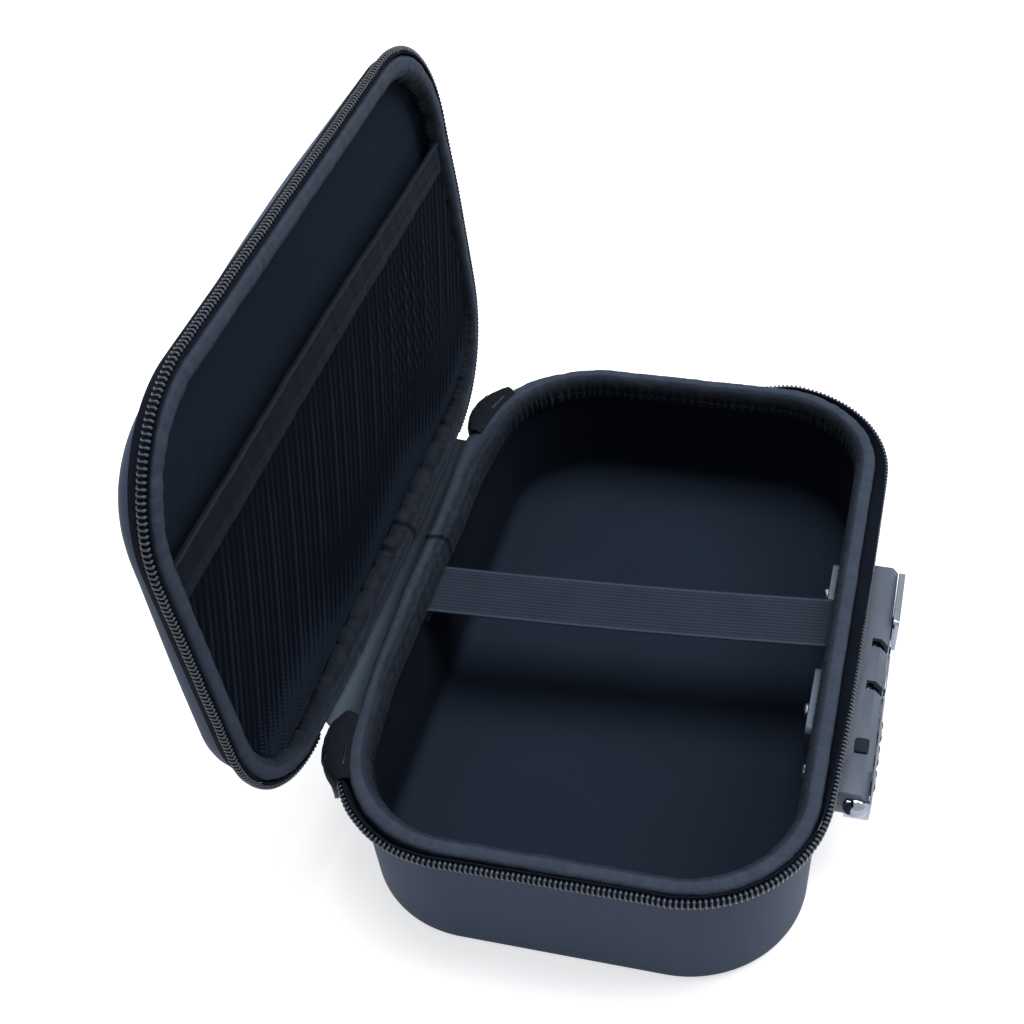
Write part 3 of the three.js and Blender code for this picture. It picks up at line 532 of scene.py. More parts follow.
def addShell(name, half, place, body, nodeName):
    # Soft board takes a set: the outer side stands proud or hollow by an amount that runs round the rim
    outer = cupSide(half, 0, 0, half.fillet)
    inner = cupSide(half, half.wall, half.wall, half.innerFillet)
    points, s, profile = cup(half, place, outer, inner)
    outside = np.arange(len(profile)) < len(outer)
    weight = outside * profile[:, 2] ** 2 * (1 - ease(2, half.height - 3, profile[:, 1]))
    points[..., 1] += softened(s, half.set)[:, None] * weight
    piece = surface(name, points, closeU=True, spanU=s, spanV=runningLength(profile[:, :2]), weld=True)
    dress(piece, finishes["shell"], body, [nodeName])


def addLining(name, half, place, body, nodeName):
    # Sheet on the inside of the shell; painted shade darkens its wall, less so towards the floor
    back = half.wall + half.sheetGap
    outer = cupSide(half, back, back, half.linedFillet - half.sheet + 1)
    inner = cupSide(half, back + half.sheet, back + half.sheet, half.linedFillet)
    points, s, profile = cup(half, place, outer, inner)
    rise = profile[:, 1] - back - half.sheet
    # painted shade on the wall, growing from the fillet upwards
    shade = half.shadeWall * ease(0.6, half.linedFillet + 2, rise)
    piece = surface(
        name, points, closeU=True, spanU=s, spanV=runningLength(profile[:, :2]), weld=True, marks={"shade": shade}
    )
    dress(piece, finishes["lining"], body, [nodeName])


addShell("trayShell", tray, basePlace, "case", "base_shell")
addLining("trayLining", tray, basePlace, "case", "base_lining")
addShell("coverShell", cover, lidPlace, "lid", "lid_shell")
addLining("coverLining", cover, lidPlace, "lid", "lid_lining")
print("stage: shells and linings")

bindingLook = dict(width=7.3, outerLeg=5.2, round=1.8, cloth=0.9, steps=1250)
trayBinding = Look(
    **bindingLook, innerLeg=9.2, shoulder=3.3, slope=4.2, pitch=3.7, ruffle=0.16, farRuffle=0.7,
    cornerRuffle=1.1, scallop=0.0, scallopPitch=14.0, seed=3, seamAt=736.0, seamStep=0.7,
    stitchDepth=6.9, shoulderShade=0.5, legShade=0.35,
    rearOut=((-128, -100, -75, -48, -28, 15, 40, 60), (0, 4.2, 5.6, 3.0, 1.6, 2.0, 0.8, 0)), rearBulge=0.0,
)
coverBinding = Look(
    **bindingLook, innerLeg=5.4, shoulder=3.0, slope=3.4, pitch=3.4, ruffle=0.3, farRuffle=0.8,
    cornerRuffle=0.8, scallop=1.3, scallopPitch=13.0, seed=8, seamAt=734.0, seamStep=0.5,
    stitchDepth=4.0, shoulderShade=0.62, legShade=0.8,
    rearOut=((-90, -60, 60, 90), (0, 0.6, 0.6, 0)), rearBulge=1.9,
)


def foldPhase(s, tape):
    return 2 * pi * s / tape.pitch + 2.2 * wander(s, tape.seed) + 1.4 * np.sin(2 * pi * s / 29)


def ruffleReach(s, depth, tape):
    # How far the inner leg stands off: folds of a wandering pitch that grow from the crown down to the free edge,
    # fuller in the corners, plus wide scallops
    grow = ease(1.5, tape.innerLeg, depth)
    seed = tape.seed
    gathered = (tape.ruffle + tape.farRuffle * farSide(s)) * (0.65 + 0.35 * wander(s * 1.7, seed + 1))
    size = (gathered + tape.cornerRuffle * cornerShare(s)) * (1 - 0.8 * rearShare(s))
    fold = swing(foldPhase(s, tape))
    wide = swing(2 * pi * s / tape.scallopPitch + 2 * wander(s, seed + 2))
    return grow * (size * fold ** 1.3 + tape.scallop * wide)


def bindingProfile(tape, cloth):
    # Folded tape: outer leg up, a small quarter circle, the flat of the crown, a wide quarter ellipse for the
    # shoulder, inner leg down. Cloth moves the line inwards to give the tape's inner face.
    r, wide, high = tape.round - cloth, tape.shoulder - cloth, tape.slope - cloth
    a = np.linspace(0, pi / 2, 7)
    outer = stacked(-cloth, np.linspace(tape.outerLeg, tape.round + 0.6, 4))
    first = stacked(-tape.round + r * np.cos(a), tape.round - r * np.sin(a))
    flat = np.linspace(-tape.round, tape.shoulder - tape.width, 5)[1:-1]
    crown = stacked(flat, cloth - 0.1)
    second = stacked(tape.shoulder - tape.width - wide * np.sin(a), tape.slope - high * np.cos(a))
    inner = stacked(cloth - tape.width, np.linspace(tape.slope + 0.3, tape.innerLeg, 5))
    return np.concatenate([outer, first, crown, second, inner])


def bindingSurface(tape, place, s, profile):
    # The profile with its ruffles, the step of the tape's overlapped end and the fullness along the hinge
    offset, depth = profile.T
    s = s[:, None]
    innerSide = ease(-tape.width * 0.55, -tape.width * 0.9, offset)
    reach = ruffleReach(s, depth, tape) * innerSide
    gap = np.mod(tape.seamAt - s, rimTotal)
    lap = tape.seamStep * ease(0, 0.5, gap) * (1 - ease(12, 40, gap))
    away = np.sign(offset + tape.width / 2)
    seed = tape.seed
    lump = (0.14 + 0.1 * cornerShare(s)) * wander(s * 2.3, seed + 5) + 0.06 * wander(s * 5.1, seed + 6)
    swell = (lap + lump) * (1 - ease(0.2, 5, depth) * 0.4)
    dip = 0.07 * ruffleReach(s, tape.innerLeg, tape) * bell(depth, 0.2, 1.2) * innerSide
    hang = np.interp(signedRun(s), *tape.rearOut) * ease(-5.5, -0.8, offset)
    crest = (1 - ease(0.8, tape.innerLeg, depth)) * np.cos(np.clip((offset + 3.4) / 5, -1.5, 1.5))
    out = offset - reach + hang + swell * away * ease(0, 1.5, depth)
    down = depth - swell * (1 - ease(0, 2.5, depth)) + dip + 0.3 * hang
    return place(s, out, down - tape.rearBulge * rearShare(s) * crest)


def addBinding(name, tape, place, body, nodeName):
    # The crown is lighter, partly rubbed and partly a painted highlight, plus a narrow painted highlight ridge
    # along the hinge; painted shade darkens the shoulder, the inner leg, the valleys between its folds, creases and
    # the seam
    outside, inside = bindingProfile(tape, 0), bindingProfile(tape, tape.cloth)
    profile = skins(outside, inside)
    s = np.linspace(0, rimTotal, tape.steps, endpoint=False)
    points = bindingSurface(tape, place, s, profile)
    offset, depth = profile.T
    blotch = wander(s * 3.1, tape.seed + 7)[:, None]
    along = rearShare(s)[:, None]
    # painted highlight: the crown, partly rubbing too, and a narrow ridge along the hinge
    band = ease(-4.9, -4.1, offset) * (1 - along) + 1.1 * along * bell(offset, -2.6, 1.1)
    wearAndHighlight = band * ease(1.6, 0.6, depth) * (0.78 + 0.14 * blotch)
    # painted shade: the valleys between folds, the inner shoulder and leg, two creases along the hinge, the seam
    valley = (1 - swing(foldPhase(s, tape)[:, None])) * ease(2.5, 6, depth)
    inward = ease(-4.2, -5.6, offset)
    # a light line along the inner leg's hem on the hinge side
    wearAndHighlight = wearAndHighlight + 0.75 * along * ease(tape.innerLeg - 1.0, tape.innerLeg - 0.3, depth) * (offset < -6)
    seam = 0.75 * bell(signedRun(s - tape.seamAt)[:, None], 0.3, 0.9)
    crease = sum(
        bell(offset, at + 0.5 * wander(s * rate, tape.seed + 9)[:, None], 0.45)
        for at, rate in ((-4.5, 1.7), (-6.4, 2.6))
    )
    fall = tape.shoulderShade * ease(0.3, 1.6, depth) * (0.9 + 0.2 * blotch)
    fall = inward * (fall + tape.legShade * 0.6 * ease(3, 6, depth) + 0.3 * valley)
    rear = along * (0.55 * crease + 0.45 * ease(-1.6, -0.4, offset))
    shade = seam + rear + (1 - 0.45 * along) * fall
    piece = surface(
        name, points, closeU=True, closeV=True, spanU=s, spanV=runningLength(profile),
        marks={"wearAndHighlight": np.clip(wearAndHighlight, 0, 1), "shade": np.clip(shade, 0, 0.92)}
    )
    dress(piece, finishes["binding"], body, [nodeName])


addBinding("trayBinding", trayBinding, basePlace, "case", "base_binding")
addBinding("coverBinding", coverBinding, lidPlace, "lid", "lid_binding")


def addStitches(name, tape, place, body):
    # Short bent bars along the inner leg, one each stitch length, each a ring of five round its line
    length, radius, spacing = 2.0, 0.16, 2.9
    start = np.arange(110, rimTotal - 110, spacing)  # none on the hinge side
    count = len(start)
    along = np.linspace(0, length, 5)
    s = start[:, None] + along
    sink = 0.28 * (2 * along / length - 1) ** 2
    depth = tape.stitchDepth
    offset = -tape.width - ruffleReach(s, depth, tape) - 0.12 + sink
    ring = circle(5)
    taper = radius * np.array([0.4, 1, 1, 1, 0.4])[:, None]
    points = place(s[..., None], offset[..., None] + taper * np.cos(ring), depth + taper * np.sin(ring))
    rows, cols = 5, 5
    index = np.arange(count * rows * cols).reshape(count, rows, cols)
    a, b = index[:, :-1], index[:, 1:]
    quads = stacked(a, b, np.roll(b, -1, 2), np.roll(a, -1, 2)).reshape(-1, 4)
    caps = np.concatenate([index[:, 0, ::-1], index[:, -1]])
    mesh = bpy.data.meshes.new(name)
    mesh.from_pydata((points.reshape(-1, 3) * mm).tolist(), [], quads.tolist() + caps.tolist())
    rework(mesh, faceOut)
    mesh.shade_smooth()
    dress(addObject(name, mesh), finishes["thread"], body)


addStitches("trayBindingStitches", trayBinding, basePlace, "case")
addStitches("coverBindingStitches", coverBinding, lidPlace, "lid")
print("stage: bindings")

trayZip = Look(
    lean=(
        (0, 82, 98, 120, 150, 200, 285, 303, 335, 400, 445, 462, 480, 500, 530, 751),
        (1, 1, 1.8, 2.5, 1.4, 0.6, 0.6, 2.0, 3.6, 4.7, 4.8, 3.6, 2.2, 1.0, 0.3, 0.3)
    ),
    farDrop=3.4, length=5.0, pivot=(0.3, 5.2), tape=0.5,
    pitch=1.72, coilWide=2.6, coilDeep=4.1, wire=0.36, head=0.2, seed=21,
)
coverZip = Look(
    lean=((0, 82, 150, 230, 300, 450, 526, 751), (0.4, 0.3, 0.2, 0.6, 0.9, 0.9, 0.5, 0.4)),
    farDrop=0.0, length=4.7, pivot=(0.2, 5.2), tape=0.5,
    pitch=1.72, coilWide=2.1, coilDeep=3.0, wire=0.35, head=0.18, seed=34,
)


def zipSection(s, out, down, look):
    # (offset, depth) of a point out of the tape's inner face and down from its free edge. Both directions are
    # turned by the angle at which the tape leans out about its pivot: asin(lean / length).
    lean = softened(s, look.lean) + 0.15 * wander(s * 1.3, look.seed)
    a = np.arcsin(np.clip(lean / look.length, -0.2, 0.96))
    along = look.length - down
    offset = look.pivot[0] + along * np.sin(a) + out * np.cos(a)
    depth = look.pivot[1] + look.farDrop * farSide(s) - along * np.cos(a) + out * np.sin(a)
    return offset, depth


def addTape(name, look, place, body, nodeName):
    # The woven strip, as thick as the tape, from its free edge over the pivot to the wall, round three sides
    s = np.linspace(knots[1] + 0.3, knots[8] - 0.3, 600)[:, None]
    down = np.linspace(0, look.length, 8)
    tailOffset, tailDrop = np.array([-0.55, -1.45]), np.array([1.1, 2.6])
    sides = []
    for out in (0, look.tape):
        offset, depth = zipSection(s, out, down, look)
        tailAt = look.pivot[1] + look.farDrop * farSide(s) + tailDrop + out * 0.8
        tail = np.broadcast_to(tailOffset + out, tailAt.shape)
        sides.append(stacked(np.concatenate([offset, tail], 1), np.concatenate([depth, tailAt], 1)))
    section = skins(*sides, 1)
    piece = tube(name, place(s, section[..., 0], section[..., 1]), spanU=s[:, 0], spanV=runningLength(section[0]))
    dress(piece, finishes["zipTape"], body, [nodeName])


def addCord(name, look, place, body):
    # The knitted cord that runs inside the coil: an oval ring carried along the tape
    s = np.linspace(knots[1] + 0.6, knots[8] - 0.6, 700)[:, None]
    ring = circle(10)
    out = look.tape + look.coilWide / 2 + (look.coilWide / 2 - 0.5) * np.cos(ring)
    down = look.coilDeep / 2 + (look.coilDeep / 2 - 0.6) * np.sin(ring)
    offset, depth = zipSection(s, out, down, look)
    piece = tube(name, place(s, offset, depth), spanU=s[:, 0], spanV=ring)
    dress(piece, finishes["zipTape"], body)


def shaped(value, power=0.55):
    # A sine flattened towards a square wave as its power falls, its sign kept
    return np.sign(value) * np.abs(value) ** power


def addCoil(name, look, place, body, nodeName):
    # One endless filament: each turn climbs the tape, bends over its head, comes down outside and crosses to the
    # next turn below; a section of six sides is carried along it, fuller at the head
    start, end = knots[1] + 0.6, knots[8] - 0.6
    turns, perTurn = int((end - start) / look.pitch), 12
    t = np.arange(turns * perTurn + 1) / perTurn
    turn, share = np.floor(t), np.mod(t, 1)
    a = 2 * pi * share
    s = start + look.pitch * (turn + 0.5 * ease(0.78, 1.0, share) + 0.5 * ease(0.0, 0.22, share))
    out = look.tape + look.coilWide / 2 - (look.coilWide / 2 - look.wire) * shaped(np.sin(a))
    down = look.coilDeep / 2 + (look.coilDeep / 2 - look.wire) * shaped(np.cos(a))
    at = zipSection(s, out, down, look)
    centre = place(s, *at)
    side = unit(place(s + 0.01, *at) - place(s - 0.01, *at))
    tangent = unit(np.gradient(centre, axis=0))
    up = unit(np.cross(tangent, side))
    across = np.cross(up, tangent)
    ring = circle(6)[:, None]
    wide = (look.wire + look.head * bell(share, 0.5, 0.15))[:, None, None]
    points = centre[:, None] + wide * np.cos(ring) * across[:, None] + look.wire * np.sin(ring) * up[:, None]
    piece = tube(name, points, sharp=80)
    dress(piece, finishes["coil"], body, [nodeName])


addTape("trayZipTape", trayZip, basePlace, "case", "base_zip_tape")
addCoil("trayZipCoil", trayZip, basePlace, "case", "base_zip_coil")
addTape("coverZipTape", coverZip, lidPlace, "lid", "lid_zip_tape")
addCoil("coverZipCoil", coverZip, lidPlace, "lid", "lid_zip_coil")
addCord("trayZipCord", trayZip, basePlace, "case")
addCord("coverZipCord", coverZip, lidPlace, "lid")

hoodLook = Look(
    runs={"Near": (77.0, 105.0), "Far": (645.5, 673.5)}, reach=0.93, cloth=0.7, steps=29, shade=0.75,
    profile=((-1.2, 0.0), (1.2, -0.9), (4.2, -1.6), (7.4, -1.5), (9.7, -0.1), (10.4, 2.6), (10.2, 5.6), (9.2, 8.6)),
    ends=(0.2, 0.55),  # height at the ends, and how fast it swells from there
)


def addHood(name, start, end):
    # The cloth cap over the parked slider: a profile from the crown out, over and down, low at both ends
    s = np.linspace(start, end, 60)[:, None]
    share = (s - start) / (end - start)
    low, swell = hoodLook.ends
    arch = low + (1 - low) * np.sin(pi * (0.06 + 0.88 * share)) ** swell
    high = arch * hoodLook.reach + 0.02 * wander(s * 4, 71)
    raw = np.array(hoodLook.profile)
    even = np.linspace(0, len(raw) - 1, hoodLook.steps)
    offset = np.interp(even, np.arange(len(raw)), raw[:, 0])
    depth = np.interp(even, np.arange(len(raw)), raw[:, 1])
    inOffset = np.maximum(offset - hoodLook.cloth * ease(1, 9, offset), -1.0)
    inDepth = depth + hoodLook.cloth * (1 - ease(7, 9.5, offset))
    offsetAll = skins(offset, inOffset) * high
    depthAll = skins(depth, inDepth) + 1.2 * (1 - high)
    piece = tube(
        name, basePlace(s, offsetAll, depthAll), spanU=s[:, 0],
        spanV=np.arange(2 * hoodLook.steps) * 0.6, marks={"shade": hoodLook.shade}
    )
    dress(piece, finishes["binding"], "case")


for side, run in hoodLook.runs.items():
    addHood("zipGarage" + side, *run)
print("stage: zip")

strapLook = Look(
    width=24.0, thick=1.3, centreX=-0.5, skew=5.0, reach=73.7, hingeReach=77.4, top=47.6,
    tab=6.6, bend=2.2, sag=1.1, ribs=15, rib=0.16, hem=0.93
)


def addStrap():
    # A flat section with raised ribs carried up one wall, round a bend, across with a slight sag and down again
    k = strapLook
    down = stacked(-k.reach, np.linspace(k.top - k.tab, k.top - k.bend, 5))
    a = np.linspace(pi, pi / 2, 7)[1:]
    corner = stacked(-k.reach + k.bend + k.bend * np.cos(a), k.top - k.bend + k.bend * np.sin(a))
    y = np.linspace(-k.reach + k.bend, 0, 40)[1:]
    drop = k.sag * (1 - (y / k.reach) ** 2) - k.sag * (1 - (1 - k.bend / k.reach) ** 2)
    across = stacked(y, k.top - drop)
    half = np.concatenate([down, corner, across])
    line = np.concatenate([half, (half * [-1, 1])[::-1][1:]])
    normal = sideways(line)
    w = np.linspace(-1, 1, 91)
    edge = np.sqrt(np.clip(1 - np.abs(w) ** 14, 0, 1))
    ribs = 0.7 * k.rib * np.abs(np.sin(pi * k.ribs * (w + 1) / 2)) * (np.abs(w) < 0.9)
    hem = 0.22 * bell(np.abs(w), k.hem, 0.035)
    topSide = (ribs + hem - 0.2) * edge
    under = -k.thick * edge
    section = skins(stacked(w, topSide), stacked(w, under)[1:-1])
    side, rise = section.T
    lineY, lineZ, normalY, normalZ = (column[:, None] for column in (*line.T, *normal.T))
    x = k.centreX + side * k.width / 2 - k.skew * lineY / k.reach
    y = lineY * np.where(lineY > 0, k.hingeReach / k.reach, 1) + normalY * rise
    # lighter on its hems and on the crests of its ribs
    ribCrests = 0.5 - 0.5 * np.cos(pi * k.ribs * (side + 1))
    wearAndHighlight = 0.5 * bell(np.abs(side), k.hem, 0.05) + 0.25 * ribCrests
    piece = tube(
        "elasticStrap", stacked(x, y, lineZ + normalZ * rise), spanU=runningLength(line),
        spanV=runningLength(section * [k.width / 2, 1]), marks={"wearAndHighlight": wearAndHighlight}
    )
    dress(piece, finishes["strap"], "case", ["divider_strap"])


addStrap()

webLook = Look(halfLength=79.4, thick=1.0, start=(80.2, 52.4), end=(94.7, 51.2), sag=3.6)


def addWeb():
    # A strip between the two bindings that hangs in a parabola, its ends rounded off
    k = webLook
    x = np.linspace(-1, 1, 120)
    share = np.linspace(0, 1, 15)
    y = k.start[0] + (k.end[0] - k.start[0]) * share
    towardsTray = skins(1 - share, 1 - share)
    pull = rim.rearPull * rearShare(-x * k.halfLength)[:, None] * towardsTray
    z = k.start[1] + (k.end[1] - k.start[1]) * share - k.sag * 4 * share * (1 - share)
    line = stacked(y, z)
    normal = sideways(line)
    ends = k.halfLength - 2.6 * (2 * share - 1) ** 2
    section = skins(line + normal * k.thick / 2, line - normal * k.thick / 2)
    grid = stacked(x[:, None] * skins(ends, ends), section[:, 0] + pull, section[:, 1])
    free = share * (1 - share)
    grid[..., 2] += 0.25 * wander(grid[..., 0] * 2, 44) * skins(free, free) * 4
    # lighter towards the near end, at -X
    wearAndHighlight = ease(15, -70, grid[..., 0])
    piece = tube("hingeWeb", grid, spanU=x * k.halfLength, spanV=runningLength(section), marks={"wearAndHighlight": wearAndHighlight})
    dress(piece, finishes["web"], None, ["hinge_web"])
    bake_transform(piece)


addWeb()
print("stage: strap and hinge web")

pocketLook = Look(
    inner=7.6, outer=104.0, depth=2.4, cloth=0.5, bulge=1.0, fold=1.0, pitch=4.4,
    slant=0.45, gather=0.36, edgeDepth=4.6, creaseAt=62, margin=0.4, flatHalf=119,
    steps=(620, 72)
)
bandLook = Look(
    low=102.9, high=116.3, farLow=101.2, farHigh=112.5, thick=1.1, behind=2.0, half=118.6,
    margin=0.3, roll=0.96, seam=0.33
)


def mouthHalf(distance, margin):
    # Half the width of the lid's mouth at a distance from its hinge edge
    inset = coverBinding.width + margin
    radius = rim.radius - inset
    along = np.maximum(0, radius - (distance - inset))
    return rim.halfX + rim.radius - inset - (radius - np.sqrt(np.maximum(0, radius ** 2 - along ** 2)))


def pocketFold(x, share):
    # Narrow ridges of a wandering pitch that fan from the hinge edge and fade towards the band; fine gathers fill
    # the zone at the hinge edge and end in long points
    k = pocketLook
    x = x - k.slant * (k.outer - k.inner) * share
    fan = x / k.pitch * (1 + 0.06 * np.sin(x / 31)) + 0.5 * np.sin(x / 23 + 1.1)
    wave = swing(2 * pi * fan)
    strong = 0.35 + 0.65 * swing(2.1 * fan + 1.3 * np.sin(0.7 * fan)) ** 1.5
    clear = np.maximum(ease(0.3, 0.55, share), ease(-40, -90, x))
    ridge = wave ** 4 * strong * clear * (1 - 0.7 * ease(0.8, 1, share))
    reach = k.gather * (0.6 + 0.5 * wave ** 2 + 0.2 * np.sin(x / 17 + 0.6))
    gather = 1 - ease(0.45, 1.0, share / reach)
    fine = swing(2 * pi * x / 2.9 + 1.5 * np.sin(x / 9)) ** 2
    return ridge, gather, fine * np.exp(-share / 0.08)


def lidSheet(x, distance, *depths):
    # Two skins across the open lid, given by their depths behind its mouth
    return skins(*(openLid(stacked(x, rearEdge - distance, rim.lidRim + depth)) for depth in depths), 1)


def addPocket():
    # Cloth plane behind the lid's mouth plus ridges; two skins a cloth apart
    k = pocketLook
    across, share = np.meshgrid(np.linspace(-1, 1, k.steps[0]), np.linspace(0, 1, k.steps[1]), indexing="ij")
    distance = k.inner + (k.outer - k.inner) * share
    x = across * mouthHalf(distance, k.margin)
    ridge, gather, fine = pocketFold(x, share)
    crease = bell(x, k.creaseAt, 34) * ease(0.25, 0.5, share) * (1 - ease(0.85, 1, share))
    crease = 0.8 * crease * np.sin(2 * pi * (distance / 6.3 + x / 90))
    belly = k.bulge * np.sin(pi * share) * (1 - across ** 4)
    edge = k.edgeDepth * np.exp(-(distance - k.inner) / 8)
    depth = k.depth + edge - k.fold * ridge - 0.6 * gather - 0.6 * fine - belly * 0.6 + crease * 0.5
    points = lidSheet(x, distance, depth, depth + k.cloth)
    # painted highlight on the ridges, on the gathers at the hinge edge and on the fine gathers
    wearAndHighlight = np.clip(0.95 * ridge + 0.75 * gather + 0.2 * fine, 0, 1)
    v = skins(distance[0], distance[0] + 200)
    piece = tube(
        "pocketCloth", points, spanU=np.linspace(-k.flatHalf, k.flatHalf, k.steps[0]),
        spanV=v, marks={"wearAndHighlight": skins(wearAndHighlight, 0 * wearAndHighlight, 1)}
    )
    dress(piece, finishes["pocket"], "lid", ["pocket_panel"])


def addBand():
    # A folded edging with a rolled top edge, slightly bowed as the real one is
    k = bandLook
    across = np.linspace(-1, 1, 160)
    v = np.linspace(0, 1, 25)
    x = across * k.half
    bow = ease(-20, 120, x)
    low = k.low + (k.farLow - k.low) * bow
    high = k.high + (k.farHigh - k.high) * bow
    roll = 0.5 * bell(v, k.roll, 0.04) + 0.28 * bell(v, k.seam, 0.05)
    distance = low[:, None] + (high - low)[:, None] * v
    wave = 0.2 * wander(x * 2.2, 61)[:, None]
    top = k.behind - roll - wave
    x = across[:, None] * mouthHalf(distance, k.margin)
    points = lidSheet(x, distance, top, k.behind + k.thick - wave)
    # painted highlight along the rolled top edge, and a lighter strip below the seam line
    wearAndHighlight = 0.9 * bell(v, k.roll, 0.05) + 0.28 * (v < k.seam)
    piece = tube(
        "pocketEdging", points, spanU=across * k.half,
        spanV=skins(v * 13, 30 + v * 13), marks={"wearAndHighlight": skins(wearAndHighlight, 0 * wearAndHighlight)}
    )
    dress(piece, finishes["band"], "lid", ["pocket_band"])


addBand()
addPocket()
print("stage: pocket")

# Beyond this x, in mm, the lock's near end keeps this share of its length
lockEnd = Look(pieces=("lock_housing", "lock_face_plate"), beyond=-60.0, share=0.72)


def roundedCopy(nodeName, width, material, slotName):
    # The CAD node's own shape, its loose triangles merged and its hard edges eased by a small bevel
    mesh = nodes[nodeName].data.copy()
    rework(mesh, merge(2e-6), flatten)
    if nodeName in lockEnd.pieces:
        place = pointsOf(mesh)
        past = np.minimum(place[:, 0] - lockEnd.beyond * mm, 0)
        place[:, 0] += past * (lockEnd.share - 1)
        mesh.vertices.foreach_set("co", place.ravel())
    mesh.shade_smooth()
    piece = addObject(nodeName + "Eased", mesh)
    bevel = piece.modifiers.new("easedEdges", "BEVEL")
    bevel.width, bevel.segments, bevel.limit_method, bevel.angle_limit = width * mm, 2, "ANGLE", radians(28)
    bevel.use_clamp_overlap, bevel.harden_normals = True, True
    dress(piece, finishes[material], nodes[nodeName]["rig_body"], [nodeName])


def carry(nodeName, material):
    # A CAD node that stays as it is and only gets its finish
    kept = nodes[nodeName]
    kept.data.materials.clear()
    kept.data.materials.append(finishes[material])


# Each node that is drawn with eased edges: width of the bevel, finish, slot
easedNodes = {
    "lock_housing": (0.35, "lockBody", "lock_body_metal"), "lock_face_plate": (0.2, "chrome", "lock_chrome"),
    "release_button": (0.45, "chrome", "lock_chrome"), "latch_bar": (0.2, "steel", "lock_steel"),
    "backing_plate_far": (0.35, "plate", "plate_metal"), "backing_plate_near": (0.35, "plate", "plate_metal"),
    "zip_slider_left": (0.25, "slider", "slider_metal"), "zip_slider_right": (0.25, "slider", "slider_metal"),
    "zip_pull_left": (0.22, "slider", "slider_metal"), "zip_pull_right": (0.22, "slider", "slider_metal"),
    "screw_washer": (0.15, "steel", "lock_steel"), "lock_screw_1": (0.2, "steel", "lock_steel"),
    "lock_screw_2": (0.2, "steel", "lock_steel"), "lock_screw_3": (0.2, "steel", "lock_steel"),
    "zip_stop_left": (0.3, "slider", "slider_metal"), "zip_stop_right": (0.3, "slider", "slider_metal"),
}
for nodeName, look in easedNodes.items():
    roundedCopy(nodeName, *look)
for nodeName in ("lock_base_plate", "dial_spindle", "dial_detent", "release_spring"):
    carry(nodeName, "steel")

# Two pillows, each a sphere squared by its power: the bright rounded end of the face plate, and a dark pad that
# stands in for the shade in the shallow recess on the lock's top
lockTrim = {
    "lockDome": Look(
        at=(-68.0, -90.6, 36.6), size=(3.6, 4.4, 4.2), power=1.0, finish="chrome", slot="lock_chrome"
    ),
    "lockRecessShadePad": Look(
        at=(-46.4, -89.9, 42.75), size=(3.1, 2.5, 0.55), power=0.35, finish="binding", slot="lock_body_metal"
    ),
}


def addLockTrim():
    turn = circle(48)[:, None]
    rise = np.linspace(-pi / 2, pi / 2, 25)
    for name, k in lockTrim.items():
        ring = np.abs(np.cos(rise)) ** k.power
        x, y, z = (shaped(wave, k.power) for wave in (np.cos(turn), np.sin(turn), np.sin(rise)))
        points = stacked(*(at + size * value for at, size, value in zip(k.at, k.size, (ring * x, ring * y, z))))
        dress(surface(name, points, closeU=True, weld=True), finishes[k.finish], "case")


addLockTrim()

dialLook = Look(
    x=(-52.2, -41.2, -30.2), y=-89.88, z=31.47, band=6.3, ridges=40, ridge=0.09, digit=3.1,
    ink=0.06, inkGap=0.02,
    # the edge as (distance from the wheel's middle, radius)
    edge=((2.2, 6.3), (2.5, 6.5), (3.1, 6.5), (3.45, 6.1), (3.6, 5.6), (3.6, 1.72)),
)


def addDials():
    # A wheel: its profile of (x, radius) turned about the spindle, the two rims ridged by a fine wave
    k = dialLook
    angle = circle(240)
    edge = np.array(k.edge)
    profile = np.concatenate([edge[::-1] * [-1, 1], edge])
    side, reach = profile.T
    onRim = (reach > 6.0) & (np.abs(side) > 2.3)
    radius = reach + k.ridge * np.cos(k.ridges * angle)[:, None] * onRim
    for index, (x, body) in enumerate(zip(k.x, ("dial_one", "dial_two", "dial_three"))):
        across, up = radius * np.cos(angle)[:, None], radius * np.sin(angle)[:, None]
        points = stacked(x + side, k.y + across, k.z + up)
        piece = surface(f"numberDial_{index + 1}", points, closeU=True, closeV=True, sharp=30)
        dress(piece, finishes["dial"], body, [f"dial_{index + 1}"])
        addDigits(index, x, body)


def addDigits(index, centreX, body):
    # Flat figures wrapped on the wheel: across stays across, height becomes an angle, thickness a radius
    k = dialLook
    points, faces = [], []
    for number in range(10):
        text = bpy.data.curves.new("figure", "FONT")
        text.body, text.size, text.align_x, text.align_y = str(number), k.digit, "CENTER", "CENTER"
        text.extrude, text.resolution_u = k.ink, 2
        holder = addObject("figure", text)
        mesh = bpy.data.meshes.new_from_object(holder.evaluated_get(bpy.context.evaluated_depsgraph_get()))
        co = pointsOf(mesh).astype(float)
        turn = number * 2 * pi / 10 + co[:, 1] / k.band
        radius = k.band + k.inkGap + co[:, 2]
        shift = sum(map(len, points))
        faces += [[v + shift for v in p.vertices] for p in mesh.polygons]
        points.append(stacked(centreX + co[:, 0], k.y - radius * np.cos(turn), k.z + radius * np.sin(turn)))
        bpy.data.objects.remove(holder)
        bpy.data.curves.remove(text)
        bpy.data.meshes.remove(mesh)
    mesh = bpy.data.meshes.new("figures")
    mesh.from_pydata((np.concatenate(points) * mm).tolist(), [], faces)
    rework(mesh, merge(1e-7), faceOut)
    dress(addObject(f"dialFigures_{index + 1}", mesh), finishes["digit"], body)


addDials()
print("stage: lock and metal parts")

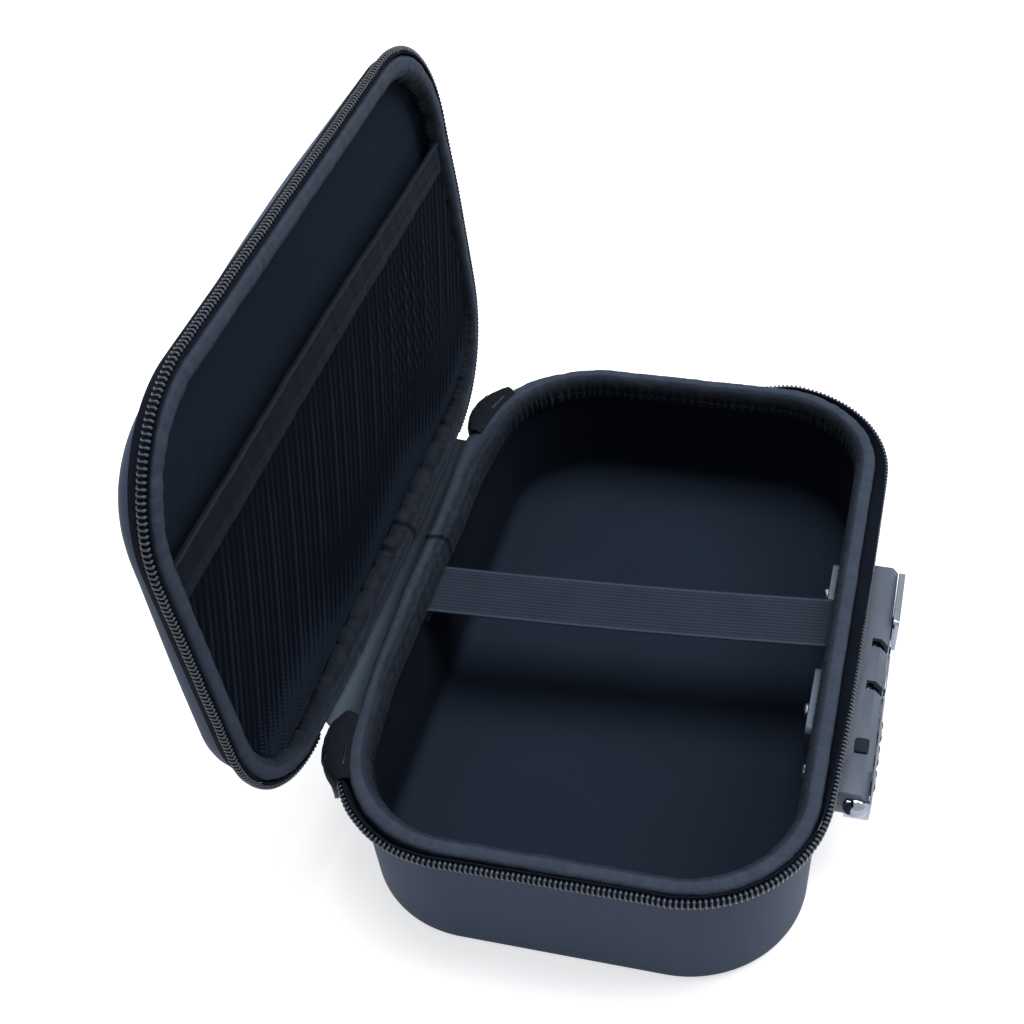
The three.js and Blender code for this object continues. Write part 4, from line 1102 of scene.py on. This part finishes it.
lightLook = Look(
    world=0.34, worldTint="#f4f6fa",
    glow=0.62, glowFrom=(0.4, 1.2),            # of the card; it grows to 1 between these distances in metres
    cardSeen="#f2f3f5", cardBounce="#b4b7bc",  # the card as it is seen, and as it lights the case
    cardHalf=4, aim=(0, 0, 0.06),              # half the card's side and the lamps' target, in metres
)
lamps = {
    "key": Look(at=(0.35, -0.9, 1.2), size=0.9, power=9.0),
    "top": Look(at=(0.25, 0.0, 1.6), size=1.0, power=15.0),
}
viewLook = Look(
    place=(-365.425, -89.908, 443.035), right=(0.23081, -0.97173, -0.04969), up=(0.71485, 0.1347, 0.68618),
    forward=(0.66009, 0.1939, -0.72573), focal=1456.693, centre=(590.0, 610.0), frame=1024, film=36.0,
)


def seenRay(material):
    # 1 for the rays that should meet plain white: camera, glossy and transmission
    path = node(material, "LightPath").outputs
    either = maths(material, "MAXIMUM", path["Is Camera Ray"], path["Is Glossy Ray"])
    return maths(material, "MAXIMUM", either, path["Is Transmission Ray"])


def addFloor():
    # A square sheet of pale card; the lit card plus a little glow clips to white, its shadows stay
    mesh = bpy.data.meshes.new("paleFloor")
    half = lightLook.cardHalf
    mesh.from_pydata([(x * half, y * half, 0) for x, y in ((-1, -1), (1, -1), (1, 1), (-1, 1))], [], [(0, 1, 2, 3)])
    floor = addObject("paleFloor", mesh)
    material = bareMaterial("paleCard")
    grain = node(material, "TexNoise", {"Scale": 900.0}).outputs["Fac"]
    bump = bumped(material, grain, 0.02, 0.0002)
    seen = seenRay(material)
    tone = mixed(material, seen, linear(lightLook.cardBounce), linear(lightLook.cardSeen))
    card = node(material, "BsdfDiffuse", {"Color": tone, "Normal": bump}).outputs[0]
    place = node(material, "TexCoord").outputs["Object"]
    away = node(material, "VectorMath", {0: place}, operation="LENGTH").outputs["Value"]
    far = mapped(material, away, *lightLook.glowFrom, lightLook.glow, 1.0)
    strength = maths(material, "MULTIPLY", seen, far)
    glow = node(material, "Emission", {"Color": (1, 1, 1, 1), "Strength": strength}).outputs[0]
    both = node(material, "AddShader", {0: card, 1: glow}).outputs[0]
    node(material, "OutputMaterial", {"Surface": both})
    mesh.materials.append(material)


def addLights():
    world = bpy.data.worlds.new("softStudio")
    world.use_nodes = True
    world.node_tree.nodes.clear()
    seen = seenRay(world)
    sky = node(world, "Background", {"Color": linear(lightLook.worldTint), "Strength": lightLook.world}).outputs[0]
    white = node(world, "Background", {"Color": (1, 1, 1, 1), "Strength": 1.0}).outputs[0]
    mix = node(world, "MixShader", {0: seen, 1: sky, 2: white}).outputs[0]
    node(world, "OutputWorld", {"Surface": mix})
    bpy.context.scene.world = world
    for name, look in lamps.items():
        lamp = bpy.data.lights.new(name + "Softbox", "AREA")
        lamp.shape, lamp.size, lamp.energy = "DISK", look.size, look.power
        holder = addObject(name + "Softbox", lamp)
        holder.location = look.at
        aim = np.subtract(lightLook.aim, look.at)
        holder.rotation_mode = "QUATERNION"
        holder.rotation_quaternion = Vector(aim.tolist()).to_track_quat("-Z", "Y")


def addCamera():
    # The photograph's own viewpoint; the shift puts the optical centre where the photograph has it
    k = viewLook
    data = bpy.data.cameras.new("photoView")
    data.sensor_fit, data.sensor_width = "HORIZONTAL", k.film
    data.lens = k.film * k.focal / k.frame
    data.shift_x = -(k.centre[0] - k.frame / 2) / k.frame
    data.shift_y = (k.centre[1] - k.frame / 2) / k.frame
    data.clip_start, data.clip_end = 0.01, 20
    camera = addObject("photoView", data)
    axes = np.stack([k.right, k.up, -np.array(k.forward)], 1)
    turn = Matrix(axes.tolist()).to_4x4()
    camera.matrix_world = Matrix.Translation(Vector(k.place) * mm) @ turn
    bpy.context.scene.camera = camera


addFloor()
addLights()
addCamera()
bpy.context.scene.view_settings.view_transform = "Standard"
print("stage: floor, light and camera")
